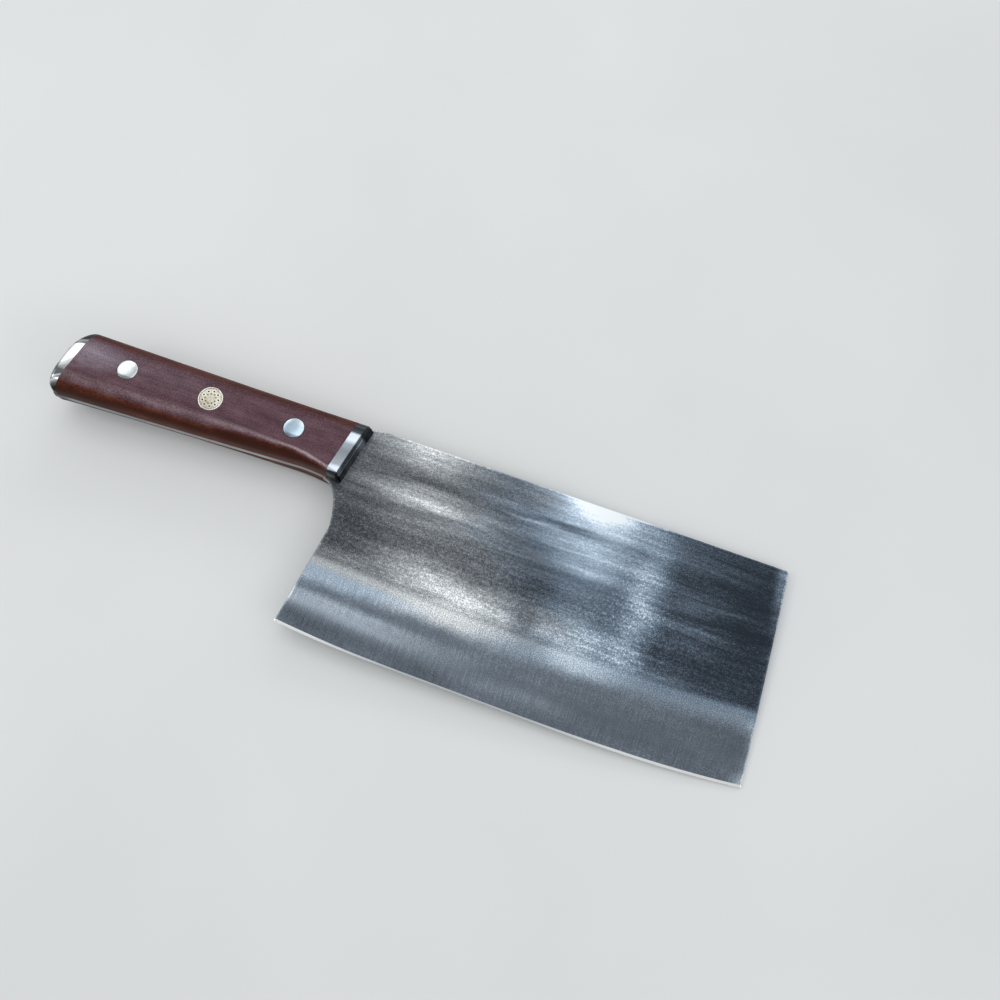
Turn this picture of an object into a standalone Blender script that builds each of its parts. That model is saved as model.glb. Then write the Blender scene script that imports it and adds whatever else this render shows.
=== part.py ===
"""A butcher knife with a wide, nearly rectangular blade, lying on its side.

One steel plate is both the blade and the full tang. Two wood scales, a steel bolster and a
steel end cap, each in two halves, lie on the tang's faces. Two-part rivets and a mosaic pin
hold the scales, and hidden pins hold the bolster and the end cap.

In the knife's own frame X runs from butt to tip, Y from cutting edge to spine and Z through
the thickness. The spine lies on y = 0, the bolster's front near x = 0, and the plate's middle
on z = 0. The empty "knife" tips that frame onto the points that the knife rests on.
"""

import math

import bmesh
import bpy
from mathutils import Matrix, Vector

# Blade outline
blade_length = 0.1760
blade_depth = 0.0895
front_depth = 0.0854
front_lean = 0.0059
heel_depth = 0.0876
heel_back = 0.0042
heel_run = 0.040
belly_start = 0.105
belly_power = 2.4
neck_back = 0.0095
neck_depth = 0.0272
neck_corner_back = 0.0019
neck_corner_depth = 0.0284
neck_end_ahead = 0.0008
neck_end_depth = 0.0450
heel_swell = 0.0001
heel_swell_drop = 0.0020
top_corner_radius = 0.0012
low_corner_radius = 0.0005

# Blade thickness, from the flat upper part down to the cutting edge
plate_thickness = 0.0026
bevel_thickness = 0.0019
edge_bevel_thickness = 0.0006
edge_thickness = 0.0002
edge_bevel_height = 0.0010
taper_depth = 0.030
bevel_depth_heel = 0.0610
bevel_depth_front = 0.0602
bevel_sag = 0.0028

# Handle outline and section
handle_length = 0.1295
handle_thickness = 0.0194
handle_drop = 0.0017
spine_rise_start = -0.002
spine_rise_end = 0.008
waist_back = 0.020
waist_depth = 0.0259
butt_depth = 0.0317
neck_flare = 0.0020
spine_side_power = 5.0
belly_side_power = 10.0
butt_power = 3.2
boxy_run = 0.025
crown_cut = 1.02
butt_lean = 0.0016
butt_corner = 0.0068
butt_corner_power = 3.4
butt_toe_height = 0.0034
butt_toe = 0.0016

# Joints across the handle: where each crosses the rivet line, and its slope
pin_line = -0.0142
bolster_back = -0.0054
bolster_back_slope = 0.174
bolster_front = -0.0014
bolster_front_slope = 0.172
cap_length = 0.0068
cap_joint = cap_length - handle_length
cap_joint_slope = 0.205

# Bolster front, which steps once, and the end cap's rounded rim
bolster_chamfer = 0.0003
bolster_step_height = 0.0056
bolster_step = 0.0003
bolster_toe = 0.0011
cap_rim = 0.0016

# Fastenings
front_rivet_x = -0.0265
rear_rivet_ahead = 0.0224
rear_rivet_x = cap_joint + rear_rivet_ahead
mosaic_shift = 0.0003
mosaic_x = (front_rivet_x + rear_rivet_x) / 2 + mosaic_shift
rivet_head_radius = 0.00425
rivet_head_height = 0.0030
rivet_pin_radius = 0.0019
rivet_bore_radius = 0.0021
rivet_tube_radius = 0.0028
rivet_bore_floor = 0.0012
mosaic_radius = 0.0051
mosaic_wall = 0.0005
mosaic_count = 9
mosaic_turn = math.radians(7)
mosaic_rod_radius = 0.00042
mosaic_rod_circle = 0.0033
mosaic_wire_radius = 0.00026
mosaic_wire_circle = 0.00215
mosaic_centre_radius = 0.0007
hidden_pin_radius = 0.0010
hidden_pin_length = 0.0130
bolster_pin_spread = 0.0056
cap_pin_spread = 0.0058
cap_pin_drop = 0.0035

# Clearances between neighbours
seam = 0.0002
small_clearance = 0.0001
rod_clearance = 0.00006

side_steps = 10
handle_stations = 18
blade_stations = 36
neck_steps = 8
heel_steps = 5
round_segments = 40
rod_segments = 12

half_handle = handle_thickness / 2
half_plate = plate_thickness / 2
seat_height = half_plate + seam
cutter_reach = 0.004


def smooth_step(value, start, end):
    """0 before start, 1 after end, with a soft rise between."""
    t = min(1.0, max(0.0, (value - start) / (end - start)))
    return t * t * (3 - 2 * t)


# Outline curves

def spine_y(x):
    """Top line: the handle's top edge, which rises to the blade's spine at the bolster."""
    return -handle_drop * (1 - smooth_step(x, spine_rise_start, spine_rise_end))


def front_x(y):
    """Front edge, which leans forward towards the cutting edge."""
    return blade_length - front_lean * y / front_depth


def edge_y(x):
    """Cutting edge: almost straight, lifting at the heel and more at the front."""
    heel = max(0.0, 1 - (x + heel_back) / heel_run)
    front_end = front_x(-front_depth)
    front = max(0.0, (x - belly_start) / (front_end - belly_start))
    heel_lift = (blade_depth - heel_depth) * heel ** 2
    front_lift = (blade_depth - front_depth) * front ** belly_power
    return -blade_depth + heel_lift + front_lift


def bevel_y(x):
    """Upper edge of the wide ground bevel, which sags a little between the heel and the front."""
    t = x / blade_length
    straight = -bevel_depth_heel + (bevel_depth_heel - bevel_depth_front) * t
    return straight - bevel_sag * 4 * t * (1 - t)


def belly_y(x):
    """Lower line of the handle: deepest at the butt, a waist, then a flare into the neck."""
    if x < -waist_back:
        t = (-waist_back - x) / (handle_length - waist_back)
        return -waist_depth - (butt_depth - waist_depth) * t
    t = (x + waist_back) / waist_back
    return -waist_depth - neck_flare * t ** 2


def butt_x(y):
    """Butt: leans forward towards the spine, with a large upper corner and a small lower one."""
    low = -butt_depth + butt_toe_height
    v = max(0.0, (y - low) / (-handle_drop - low))
    w = max(0.0, (low - y) / butt_toe_height)
    return -handle_length + butt_lean * v + butt_corner * v ** butt_corner_power + butt_toe * w ** 3


def arc_point(start, control, end, t):
    """A point of a quadratic curve."""
    return start * (1 - t) ** 2 + control * 2 * t * (1 - t) + end * t ** 2


def arc_share(start, control, end, y):
    """Where along a quadratic curve its height is y, from 0 at its start to 1 at its end."""
    bend = start.y - 2 * control.y + end.y
    slope = 2 * (control.y - start.y)
    root = math.sqrt(max(0.0, slope ** 2 - 4 * bend * (start.y - y)))
    return 2 * (start.y - y) / (-slope + root)


neck_start = Vector((-neck_back, -neck_depth))
neck_corner = Vector((-neck_corner_back, -neck_corner_depth))
neck_end = Vector((neck_end_ahead, -neck_end_depth))
heel = Vector((-heel_back, -heel_depth))
heel_bow = Vector((neck_end_ahead + heel_swell, -neck_end_depth - heel_swell_drop))


def heel_x(y):
    """Rear edge of the blade: a fillet below the handle, then a curve that runs straight to the heel."""
    if y > neck_end.y:
        t = arc_share(neck_start, neck_corner, neck_end, y)
        return arc_point(neck_start, neck_corner, neck_end, t).x
    t = arc_share(neck_end, heel_bow, heel, y)
    return arc_point(neck_end, heel_bow, heel, t).x


def level_y(level, x):
    """Height of a line along the blade: 0 where the taper starts, 1 bevel, 2 edge bevel, 3 edge."""
    lines = (-taper_depth, bevel_y(x), edge_y(x) + edge_bevel_height, edge_y(x))
    first = min(int(level), 2)
    share = level - first
    return lines[first] * (1 - share) + lines[first + 1] * share


def level_half_thickness(level):
    """Half the blade's thickness on such a line."""
    lines = (half_plate, bevel_thickness / 2, edge_bevel_thickness / 2, edge_thickness / 2)
    first = min(int(level), 2)
    share = level - first
    return lines[first] * (1 - share) + lines[first + 1] * share


def level_ends(level):
    """Where a line along the blade meets the rear edge and the front edge."""
    rear, front = 0.0, blade_length
    for _ in range(8):
        rear = heel_x(level_y(level, rear))
        front = front_x(level_y(level, front))
    return rear, front


def tang_outline():
    """The flat tang back from the blade, counter-clockwise seen from +Z, from the top of the butt."""
    points = []
    butt_steps = 18
    for i in range(butt_steps + 1):
        y = -handle_drop - (butt_depth - handle_drop) * (i / butt_steps) ** 1.8
        points.append(Vector((butt_x(y), y)))
    flare_steps = 4
    for i in range(flare_steps):
        x = -waist_back + (waist_back - neck_back) * i / flare_steps
        points.append(Vector((x, belly_y(x))))
    last = arc_share(neck_start, neck_corner, neck_end, -taper_depth)
    for i in range(neck_steps):
        points.append(arc_point(neck_start, neck_corner, neck_end, last * i / neck_steps))
    return points


# Mesh helpers

def skin(bm, rows, closed_rows):
    """Quads between rows of points; returns the rows of vertices."""
    rings = [[bm.verts.new(p) for p in row] for row in rows]
    for ring, following in zip(rings, rings[1:]):
        count = len(ring)
        for i in range(count if closed_rows else count - 1):
            j = (i + 1) % count
            bm.faces.new((ring[i], ring[j], following[j], following[i]))
    return rings


def finish(bm):
    """Welds points that coincide and turns every face outwards."""
    bmesh.ops.remove_doubles(bm, verts=bm.verts[:], dist=1e-7)
    bmesh.ops.dissolve_degenerate(bm, edges=bm.edges[:], dist=1e-7)
    bmesh.ops.recalc_face_normals(bm, faces=bm.faces[:])


def cylinder(bm, x, y, low, high, radius, segments):
    """A round bar along Z."""
    middle = Matrix.Translation((x, y, (low + high) / 2))
    bmesh.ops.create_cone(
        bm, cap_ends=True, segments=segments, radius1=radius, radius2=radius,
        depth=high - low, matrix=middle)


def turned(bm, x, y, profile, segments):
    """A turned solid around the Z line through x, y; the profile holds (radius, z) pairs."""
    verts = [bm.verts.new((x + r, y, z)) for r, z in profile]
    edges = [bm.edges.new(pair) for pair in zip(verts, verts[1:])]
    bmesh.ops.spin(
        bm, geom=verts + edges, cent=(x, y, 0), axis=(0, 0, 1),
        angle=math.tau, steps=segments, use_duplicate=False)


def mirrored(bm):
    """The same solid on the plate's other face."""
    bmesh.ops.scale(bm, vec=(1, 1, -1), verts=bm.verts[:])
    bmesh.ops.reverse_faces(bm, faces=bm.faces[:])


# Objects

def material(name, colour, roughness, metallic):
    made = bpy.data.materials.new(name)
    made.use_nodes = True
    shader = made.node_tree.nodes["Principled BSDF"]
    shader.inputs["Base Color"].default_value = (*colour, 1)
    shader.inputs["Roughness"].default_value = roughness
    shader.inputs["Metallic"].default_value = metallic
    return made


def add_object(name, bm):
    finish(bm)
    mesh = bpy.data.meshes.new(name)
    bm.to_mesh(mesh)
    bm.free()
    made = bpy.data.objects.new(name, mesh)
    bpy.context.scene.collection.objects.link(made)
    made.parent = knife
    return made


def add_part(name, bm, look, round_sides=True):
    made = add_object(name, bm)
    made.data.materials.append(look)
    if round_sides:
        made.data.shade_smooth()
        made.data.set_sharp_from_angle(angle=math.radians(30))
    return made


def add_cutter(name, bm):
    made = add_object(name, bm)
    made.hide_render = True
    made.display_type = 'WIRE'
    return made


def cut(part, cutter):
    boolean = part.modifiers.new(cutter.name, 'BOOLEAN')
    boolean.operation = 'DIFFERENCE'
    boolean.solver = 'EXACT'
    boolean.object = cutter


# Blade and tang

def blade_levels():
    """Lines along the blade: close together round the neck's fillet, then down to the edge."""
    start_x = heel_x(-taper_depth)
    levels = []
    first = arc_share(neck_start, neck_corner, neck_end, -taper_depth)
    for i in range(neck_steps):
        p = arc_point(neck_start, neck_corner, neck_end, first + (1 - first) * i / neck_steps)
        levels.append((p.y + taper_depth) / (bevel_y(start_x) + taper_depth))
    neck_level = (neck_end.y + taper_depth) / (bevel_y(start_x) + taper_depth)
    for i in range(heel_steps):
        levels.append(neck_level + (1 - neck_level) * i / heel_steps)
    return levels + [1, 1.5, 2, 3]


def blade_rows():
    """Rows of points with their half thickness, from the taper's start down to the edge."""
    rows = []
    for level in blade_levels():
        rear, front = level_ends(level)
        row = []
        for i in range(blade_stations + 1):
            x = rear + (front - rear) * i / blade_stations
            row.append(Vector((x, level_y(level, x), level_half_thickness(level))))
        rows.append(row)
    return rows


def spine_row(taper_row):
    """Points on the spine: above the taper row's points as far as the rise, then the front corner."""
    rise = [p.x for p in taper_row if p.x < spine_rise_end]
    places = rise + [spine_rise_end, blade_length]
    return [Vector((x, spine_y(x), half_plate)) for x in places]


def blade_solid():
    """The plate: a flat tang and upper blade, a slight taper, the wide bevel and the edge bevel."""
    bm = bmesh.new()
    rows = blade_rows()
    spine_points = spine_row(rows[0])
    tang = tang_outline()
    sides = []
    for side in (1, -1):
        spine = [bm.verts.new((p.x, p.y, side * p.z)) for p in spine_points]
        grid = [[bm.verts.new((p.x, p.y, side * p.z)) for p in row] for row in rows]
        ring = [bm.verts.new((p.x, p.y, side * half_plate)) for p in tang]
        bm.faces.new(ring + [grid[0][0], spine[0]])
        rise = len(spine) - 3
        for i in range(rise):
            bm.faces.new((spine[i], spine[i + 1], grid[0][i + 1], grid[0][i]))
        bm.faces.new(spine[rise:] + grid[0][:rise - 1:-1])
        for row, following in zip(grid, grid[1:]):
            for i in range(blade_stations):
                bm.faces.new((row[i], row[i + 1], following[i + 1], following[i]))
        rim = ring + [row[0] for row in grid] + grid[-1][1:]
        rim += [row[-1] for row in reversed(grid[:-1])] + spine[::-1]
        sides.append(rim)
    upper, lower = sides
    for i in range(len(upper)):
        j = (i + 1) % len(upper)
        bm.faces.new((upper[i], upper[j], lower[j], lower[i]))
    corners = (
        (spine_points[-1], top_corner_radius),
        (rows[-1][-1], low_corner_radius),
        (rows[-1][0], low_corner_radius),
    )
    for corner, radius in corners:
        edges = [e for e in bm.edges if all((v.co.xy - corner.xy).length < 1e-7 for v in e.verts)]
        bmesh.ops.bevel(bm, geom=edges, offset=radius, segments=4, profile=0.5, affect='EDGES')
    return bm


def bolster_pin_places():
    """Two places on the bolster's middle line, either side of the rivet line."""
    places = []
    for y in (pin_line + bolster_pin_spread, pin_line - bolster_pin_spread):
        slope = (bolster_back_slope + bolster_front_slope) / 2
        middle = (bolster_back + bolster_front) / 2
        places.append((middle + slope * (y - pin_line), y))
    return places


def cap_pin_places():
    """Two places halfway between the end cap's joint and the butt."""
    places = []
    middle = pin_line - cap_pin_drop
    for y in (middle + cap_pin_spread, middle - cap_pin_spread):
        joint = cap_joint + cap_joint_slope * (y - pin_line)
        places.append(((joint + butt_x(y)) / 2, y))
    return places


def make_blade():
    blade = add_part("blade_and_tang", blade_solid(), blade_steel, round_sides=False)
    holes = bmesh.new()
    reach = half_plate + cutter_reach
    for x in (front_rivet_x, rear_rivet_x):
        cylinder(holes, x, pin_line, -reach, reach, rivet_tube_radius + small_clearance, round_segments)
    cylinder(holes, mosaic_x, pin_line, -reach, reach, mosaic_radius + small_clearance, round_segments)
    for x, y in bolster_pin_places() + cap_pin_places():
        cylinder(holes, x, y, -reach, reach, hidden_pin_radius + small_clearance, round_segments)
    cut(blade, add_cutter("tang_drills", holes))


# Handle section

def section(station, slope, inset=0.0):
    """Half section of the handle above the plate, from its spine side over to its belly side.

    Each side is part of a superellipse, and the face between them is flat.
    """
    low = belly_y(station + slope * (belly_y(station) - pin_line))
    middle = (low - handle_drop) / 2
    half_width = (-handle_drop - low) / 2 - inset
    full_height = (half_handle - inset) * crown_cut
    boxiness = math.exp(min(0.0, station) / boxy_run)
    sides = []
    for front_power in (spine_side_power, belly_side_power):
        power = butt_power + (front_power - butt_power) * boxiness
        start = math.asin((seat_height / full_height) ** (power / 2))
        end = math.asin((1 / crown_cut) ** (power / 2))
        side = []
        for i in range(side_steps + 1):
            angle = start + (end - start) * i / side_steps
            across = half_width * math.cos(angle) ** (2 / power)
            side.append((across, full_height * math.sin(angle) ** (2 / power)))
        sides.append(side)
    spine_side = [(middle + across, up) for across, up in sides[0]]
    belly_side = [(middle - across, up) for across, up in reversed(sides[1])]
    return spine_side + belly_side


def joint_row(station, slope, inset=0.0):
    """The half section on a joint plane that leans by a slope."""
    return [
        Vector((station + slope * (y - pin_line), y, z))
        for y, z in section(station, slope, inset)
    ]


def blind_hole(places):
    holes = bmesh.new()
    depth = hidden_pin_length / 2 + small_clearance
    for x, y in places:
        cylinder(holes, x, y, 0, depth, hidden_pin_radius + small_clearance, round_segments)
    return holes


def make_halves(name, solid, drills, look):
    """The upper and the lower half of a piece, each with its holes."""
    for side, turn in (("upper", False), ("lower", True)):
        body = solid()
        holes = drills()
        if turn:
            mirrored(body)
            mirrored(holes)
        half = add_part(f"{name}_{side}", body, look)
        cut(half, add_cutter(f"{name}_{side}_drills", holes))


# Wood scales

def scale_solid():
    bm = bmesh.new()
    first = bolster_back - seam
    last = cap_joint + seam
    rows = []
    for i in range(handle_stations + 1):
        t = i / handle_stations
        slope = bolster_back_slope + (cap_joint_slope - bolster_back_slope) * t
        rows.append(joint_row(first + (last - first) * t, slope))
    rings = skin(bm, rows, False)
    bm.faces.new(rings[0])
    bm.faces.new(rings[-1])
    for ring, following in zip(rings, rings[1:]):
        bm.faces.new((ring[0], ring[-1], following[-1], following[0]))
    return bm


def scale_drills():
    """Stepped rivet holes and the mosaic pin's straight hole."""
    holes = bmesh.new()
    reach = half_handle + cutter_reach
    floor = half_handle - rivet_head_height - small_clearance
    shank = rivet_tube_radius + small_clearance
    head = rivet_head_radius + small_clearance
    profile = ((0, 0), (shank, 0), (shank, floor), (head, floor), (head, reach), (0, reach))
    for x in (front_rivet_x, rear_rivet_x):
        turned(holes, x, pin_line, profile, round_segments)
    cylinder(holes, mosaic_x, pin_line, 0, reach, mosaic_radius + small_clearance, round_segments)
    finish(holes)
    return holes


# Bolster

def bolster_solid():
    """One bolster half: flat band, chamfered rim, and a front that steps out once near its foot."""
    bm = bmesh.new()
    rows = [
        joint_row(bolster_back, bolster_back_slope),
        joint_row(bolster_front, bolster_front_slope),
        joint_row(bolster_front + bolster_chamfer, bolster_front_slope, bolster_chamfer),
    ]
    rim = rows[-1]
    step_base = bolster_step_height - bolster_step
    for height, forward in (
        (bolster_step_height, bolster_chamfer / 2),
        (step_base, bolster_chamfer / 2 + bolster_step),
        (seat_height, bolster_toe),
    ):
        rows.append([Vector((p.x + forward, p.y, min(p.z, height))) for p in rim])
    rings = skin(bm, rows, False)
    bm.faces.new(rings[0])
    starts = [ring[0] for ring in rings]
    ends = [ring[-1] for ring in reversed(rings)]
    bm.faces.new(starts + rings[-1][1:-1] + ends)
    return bm


# End cap

def cap_solid():
    """One end cap half: full section at the wood, a rounded rim, and a back that follows the butt."""
    bm = bmesh.new()
    joint = joint_row(cap_joint, cap_joint_slope)
    rows = [joint]
    for quarter in range(5):
        angle = math.radians(90 * quarter / 4)
        inset = cap_rim * (1 - math.cos(angle))
        rim = joint_row(cap_joint, cap_joint_slope, inset)
        row = []
        for p in rim:
            back = butt_x(p.y)
            forward = min(cap_rim, (p.x - back) / 2) * (1 - math.sin(angle))
            row.append(Vector((back + forward, p.y, p.z)))
        rows.append(row)
    rows.append([Vector((p.x, p.y, seat_height)) for p in rows[-1]])
    rings = skin(bm, rows, False)
    bm.faces.new(rings[0])
    starts = [ring[0] for ring in rings[:-1]]
    ends = [ring[-1] for ring in reversed(rings[:-1])]
    bm.faces.new(starts + rings[-1][1:-1] + ends)
    return bm


# Fastenings

def make_rivet(name, x):
    """A two-part rivet: a pin with a head pressed into a tube with a head."""
    top = half_handle
    under = half_handle - rivet_head_height
    pin = bmesh.new()
    pin_end = -under + rivet_bore_floor + small_clearance
    turned(pin, x, pin_line, (
        (0, pin_end), (rivet_pin_radius, pin_end), (rivet_pin_radius, under),
        (rivet_head_radius, under), (rivet_head_radius, top), (0, top)), round_segments)
    add_part(f"{name}_pin", pin, rivet_steel)
    tube = bmesh.new()
    tube_end = under - small_clearance
    bore_floor = -under + rivet_bore_floor - seam
    turned(tube, x, pin_line, (
        (0, -top), (rivet_head_radius, -top), (rivet_head_radius, -under),
        (rivet_tube_radius, -under), (rivet_tube_radius, tube_end),
        (rivet_bore_radius, tube_end), (rivet_bore_radius, bore_floor), (0, bore_floor)), round_segments)
    add_part(f"{name}_tube", tube, rivet_steel)


def circle_places(radius, phase):
    """Evenly spaced places on a circle around the mosaic pin's axis."""
    places = []
    for i in range(mosaic_count):
        angle = phase + math.tau * i / mosaic_count
        places.append((mosaic_x + radius * math.cos(angle), pin_line + radius * math.sin(angle)))
    return places


def make_mosaic_pin():
    """A tube filled with a core, which holds two rings of thin rods and a thicker middle one."""
    inner = mosaic_radius - mosaic_wall
    tube = bmesh.new()
    turned(tube, mosaic_x, pin_line, (
        (inner, -half_handle), (mosaic_radius, -half_handle), (mosaic_radius, half_handle),
        (inner, half_handle), (inner, -half_handle)), round_segments)
    add_part("mosaic_tube", tube, mosaic_brass)

    core_radius = inner - small_clearance
    core = bmesh.new()
    cylinder(core, mosaic_x, pin_line, -half_handle, half_handle, core_radius, round_segments)
    core_part = add_part("mosaic_core", core, mosaic_metal)

    rods = circle_places(mosaic_rod_circle, mosaic_turn)
    wires = circle_places(mosaic_wire_circle, mosaic_turn + math.pi / mosaic_count)
    kinds = (
        ("mosaic_rod", rods, mosaic_rod_radius),
        ("mosaic_wire", wires, mosaic_wire_radius),
        ("mosaic_centre", [(mosaic_x, pin_line)], mosaic_centre_radius),
    )
    drills = bmesh.new()
    reach = half_handle + cutter_reach
    for name, places, radius in kinds:
        for number, (x, y) in enumerate(places, start=1):
            cylinder(drills, x, y, -reach, reach, radius + rod_clearance, rod_segments)
            rod = bmesh.new()
            cylinder(rod, x, y, -half_handle, half_handle, radius, rod_segments)
            look = mosaic_brass if name == "mosaic_centre" else rod_steel
            add_part(f"{name}_{number}", rod, look)
    cut(core_part, add_cutter("mosaic_core_drills", drills))


def make_hidden_pins(name, places):
    """Plain pins through the tang into both halves of a piece."""
    for number, (x, y) in enumerate(places, start=1):
        pin = bmesh.new()
        half = hidden_pin_length / 2
        cylinder(pin, x, y, -half, half, hidden_pin_radius, round_segments)
        add_part(f"{name}_pin_{number}", pin, pin_steel)


# Resting place

def resting_turn():
    """Turns the plane under the bolster's lower rim and the blade's front end to the floor."""
    bevel_start = bevel_y(blade_length)
    tip = Vector((front_x(bevel_start), bevel_start, -bevel_thickness / 2))
    rim = joint_row(bolster_front, bolster_front_slope)
    spine_side = Vector((rim[side_steps].x, rim[side_steps].y, -half_handle))
    belly_side = Vector((rim[side_steps + 1].x, rim[side_steps + 1].y, -half_handle))
    upward = (tip - belly_side).cross(spine_side - belly_side).normalized()
    return upward.rotation_difference(Vector((0, 0, 1)))


def set_down():
    """Tips the knife onto its resting points and centres its box over the origin."""
    knife.rotation_mode = 'QUATERNION'
    knife.rotation_quaternion = resting_turn()
    bpy.context.view_layer.update()
    graph = bpy.context.evaluated_depsgraph_get()
    corners = []
    for part in bpy.context.scene.objects:
        if part.type == 'MESH' and not part.hide_render:
            shape = part.evaluated_get(graph).to_mesh()
            corners += [part.matrix_world @ v.co for v in shape.vertices]
    low = [min(p[axis] for p in corners) for axis in range(3)]
    high = [max(p[axis] for p in corners) for axis in range(3)]
    knife.location = (-(low[0] + high[0]) / 2, -(low[1] + high[1]) / 2, -low[2])


for old in list(bpy.data.objects):
    bpy.data.objects.remove(old, do_unlink=True)

knife = bpy.data.objects.new("knife", None)
bpy.context.scene.collection.objects.link(knife)

blade_steel = material("blade_steel", (0.20, 0.22, 0.24), 0.42, 1.0)
bolster_steel = material("bolster_steel", (0.62, 0.65, 0.68), 0.30, 1.0)
cap_steel = material("cap_steel", (0.75, 0.78, 0.77), 0.12, 1.0)
rivet_steel = material("rivet_steel", (0.85, 0.87, 0.86), 0.15, 1.0)
pin_steel = material("pin_steel", (0.55, 0.56, 0.58), 0.40, 1.0)
mosaic_brass = material("mosaic_brass", (0.82, 0.78, 0.66), 0.25, 1.0)
mosaic_metal = material("mosaic_metal", (0.84, 0.84, 0.78), 0.30, 1.0)
rod_steel = material("rod_steel", (0.12, 0.13, 0.12), 0.45, 1.0)
rosewood = material("rosewood", (0.16, 0.06, 0.06), 0.45, 0.0)

make_blade()
make_halves("scale", scale_solid, scale_drills, rosewood)
make_halves("bolster", bolster_solid, lambda: blind_hole(bolster_pin_places()), bolster_steel)
make_halves("cap", cap_solid, lambda: blind_hole(cap_pin_places()), cap_steel)
make_rivet("front_rivet", front_rivet_x)
make_rivet("rear_rivet", rear_rivet_x)
make_mosaic_pin()
make_hidden_pins("bolster", bolster_pin_places())
make_hidden_pins("cap", cap_pin_places())
set_down()
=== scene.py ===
"""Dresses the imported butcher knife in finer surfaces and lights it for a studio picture.

The pieces are made in the knife's own frame, as in the part's source: X from butt to tip, Y from
cutting edge to spine, Z through the thickness, the plate's middle on z = 0. They are then set on
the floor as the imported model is, and the materials turn places back into the knife's frame.
"""

import math

import bmesh
import bpy
from mathutils import Euler, Matrix, Vector, noise


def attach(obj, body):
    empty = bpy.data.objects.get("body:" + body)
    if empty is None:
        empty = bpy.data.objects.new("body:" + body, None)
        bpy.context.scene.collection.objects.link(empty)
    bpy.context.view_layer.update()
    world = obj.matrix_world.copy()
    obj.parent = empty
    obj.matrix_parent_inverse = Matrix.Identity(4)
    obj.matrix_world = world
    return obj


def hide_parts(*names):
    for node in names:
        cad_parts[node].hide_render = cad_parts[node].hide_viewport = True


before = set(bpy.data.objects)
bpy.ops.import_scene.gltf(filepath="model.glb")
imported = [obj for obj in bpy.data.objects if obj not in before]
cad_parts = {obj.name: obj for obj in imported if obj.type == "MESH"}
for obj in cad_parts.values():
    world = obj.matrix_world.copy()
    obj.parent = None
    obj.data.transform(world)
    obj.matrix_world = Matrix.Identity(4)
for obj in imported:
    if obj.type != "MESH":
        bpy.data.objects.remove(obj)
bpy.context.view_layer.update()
scene = bpy.context.scene

# Where the knife lies: its upward direction before it is tipped, and its origin afterwards
knife_upward = Vector((-0.0461306, 0.0079345, 0.9989039))
knife_origin = Vector((-0.0260151, 0.0447244, 0.0097512))
knife_turn = knife_upward.rotation_difference(Vector((0, 0, 1)))
knife_place = Matrix.Translation(knife_origin) @ knife_turn.to_matrix().to_4x4()

# Blade, with the sizes of the part's source
blade_length = 0.1760
blade_depth = 0.0895
front_depth = 0.0854
front_lean = 0.0059
heel_depth = 0.0876
heel_back = 0.0042
heel_run = 0.040
belly_start = 0.105
belly_power = 2.4
neck_start = Vector((-0.0095, -0.0272))
neck_corner = Vector((-0.0019, -0.0284))
neck_end = Vector((0.0008, -0.0450))
heel_swell = 0.0001
heel_swell_drop = 0.0020
top_corner_radius = 0.0012
low_corner_radius = 0.0005
half_plate = 0.0013
half_bevel = 0.00095
half_edge_bevel = 0.0003
half_edge = 0.0001
edge_bevel_height = 0.0010
taper_depth = 0.030
bevel_depth_heel = 0.0610
bevel_depth_front = 0.0602
bevel_sag = 0.0028

# Handle
handle_length = 0.1295
half_handle = 0.0097
handle_drop = 0.0017
spine_rise_start = -0.002
spine_rise_end = 0.008
waist_back = 0.020
waist_depth = 0.0259
butt_depth = 0.0317
neck_flare = 0.0020
spine_side_power = 5.0
belly_side_power = 10.0
butt_power = 3.2
boxy_run = 0.025
crown_cut = 1.02
butt_lean = 0.0016
butt_corner = 0.0068
butt_corner_power = 3.4
butt_toe_height = 0.0034
butt_toe = 0.0016
pin_line = -0.0142
bolster_back = -0.0054
bolster_back_slope = 0.174
bolster_front = -0.0014
bolster_front_slope = 0.172
cap_joint = -0.1227
cap_joint_slope = 0.205
bolster_chamfer = 0.0003
bolster_step_height = 0.0056
bolster_step = 0.0003
bolster_toe = 0.0011
cap_rim = 0.0016
lower_scale_round = 0.28
hole_depth = 0.0025
hole_clearance = 0.002
hole_gap = 0.00012

# Fastenings
front_rivet_x = -0.0265
mosaic_x = -0.0631
rear_rivet_x = -0.1003
rivet_head_radius = 0.00425
rivet_head_height = 0.0030
rivet_pin_radius = 0.0019
rivet_bore_radius = 0.0021
rivet_tube_radius = 0.0028
rivet_bore_floor = 0.0012
rivet_bore_gap = 0.0002
rivet_dome = 0.00016
rivet_round = 0.00025
mosaic_radius = 0.0051
mosaic_wall = 0.0005
mosaic_count = 9
mosaic_turn = math.radians(7)
mosaic_rod_radius = 0.00042
mosaic_rod_circle = 0.0033
mosaic_wire_radius = 0.00026
mosaic_wire_circle = 0.00215
mosaic_centre_radius = 0.0007
mosaic_crown = 0.00012
filling_drop = 0.00006
filling_dome = 0.00010
filling_round = 0.00004
rod_rise = 0.00008
rod_dome = 0.00002

# Fineness of the surfaces
hairline = 0.00004
seat_height = half_plate + hairline
edge_round = 0.00022
end_rounds = 12
butt_bunching = 1.6
side_steps = 18
face_steps = 12
handle_stations = 64
round_segments = 96
rod_segments = 24
touching = 1e-7
sharp_angle = math.radians(38)


def smooth_step(value, start, end):
    """0 before start, 1 after end, with a soft rise between."""
    t = min(1.0, max(0.0, (value - start) / (end - start)))
    return t * t * (3 - 2 * t)


def mix(a, b, share):
    return a + (b - a) * share


# Outline curves, as in the part's source

def spine_y(x):
    return -handle_drop * (1 - smooth_step(x, spine_rise_start, spine_rise_end))


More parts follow.
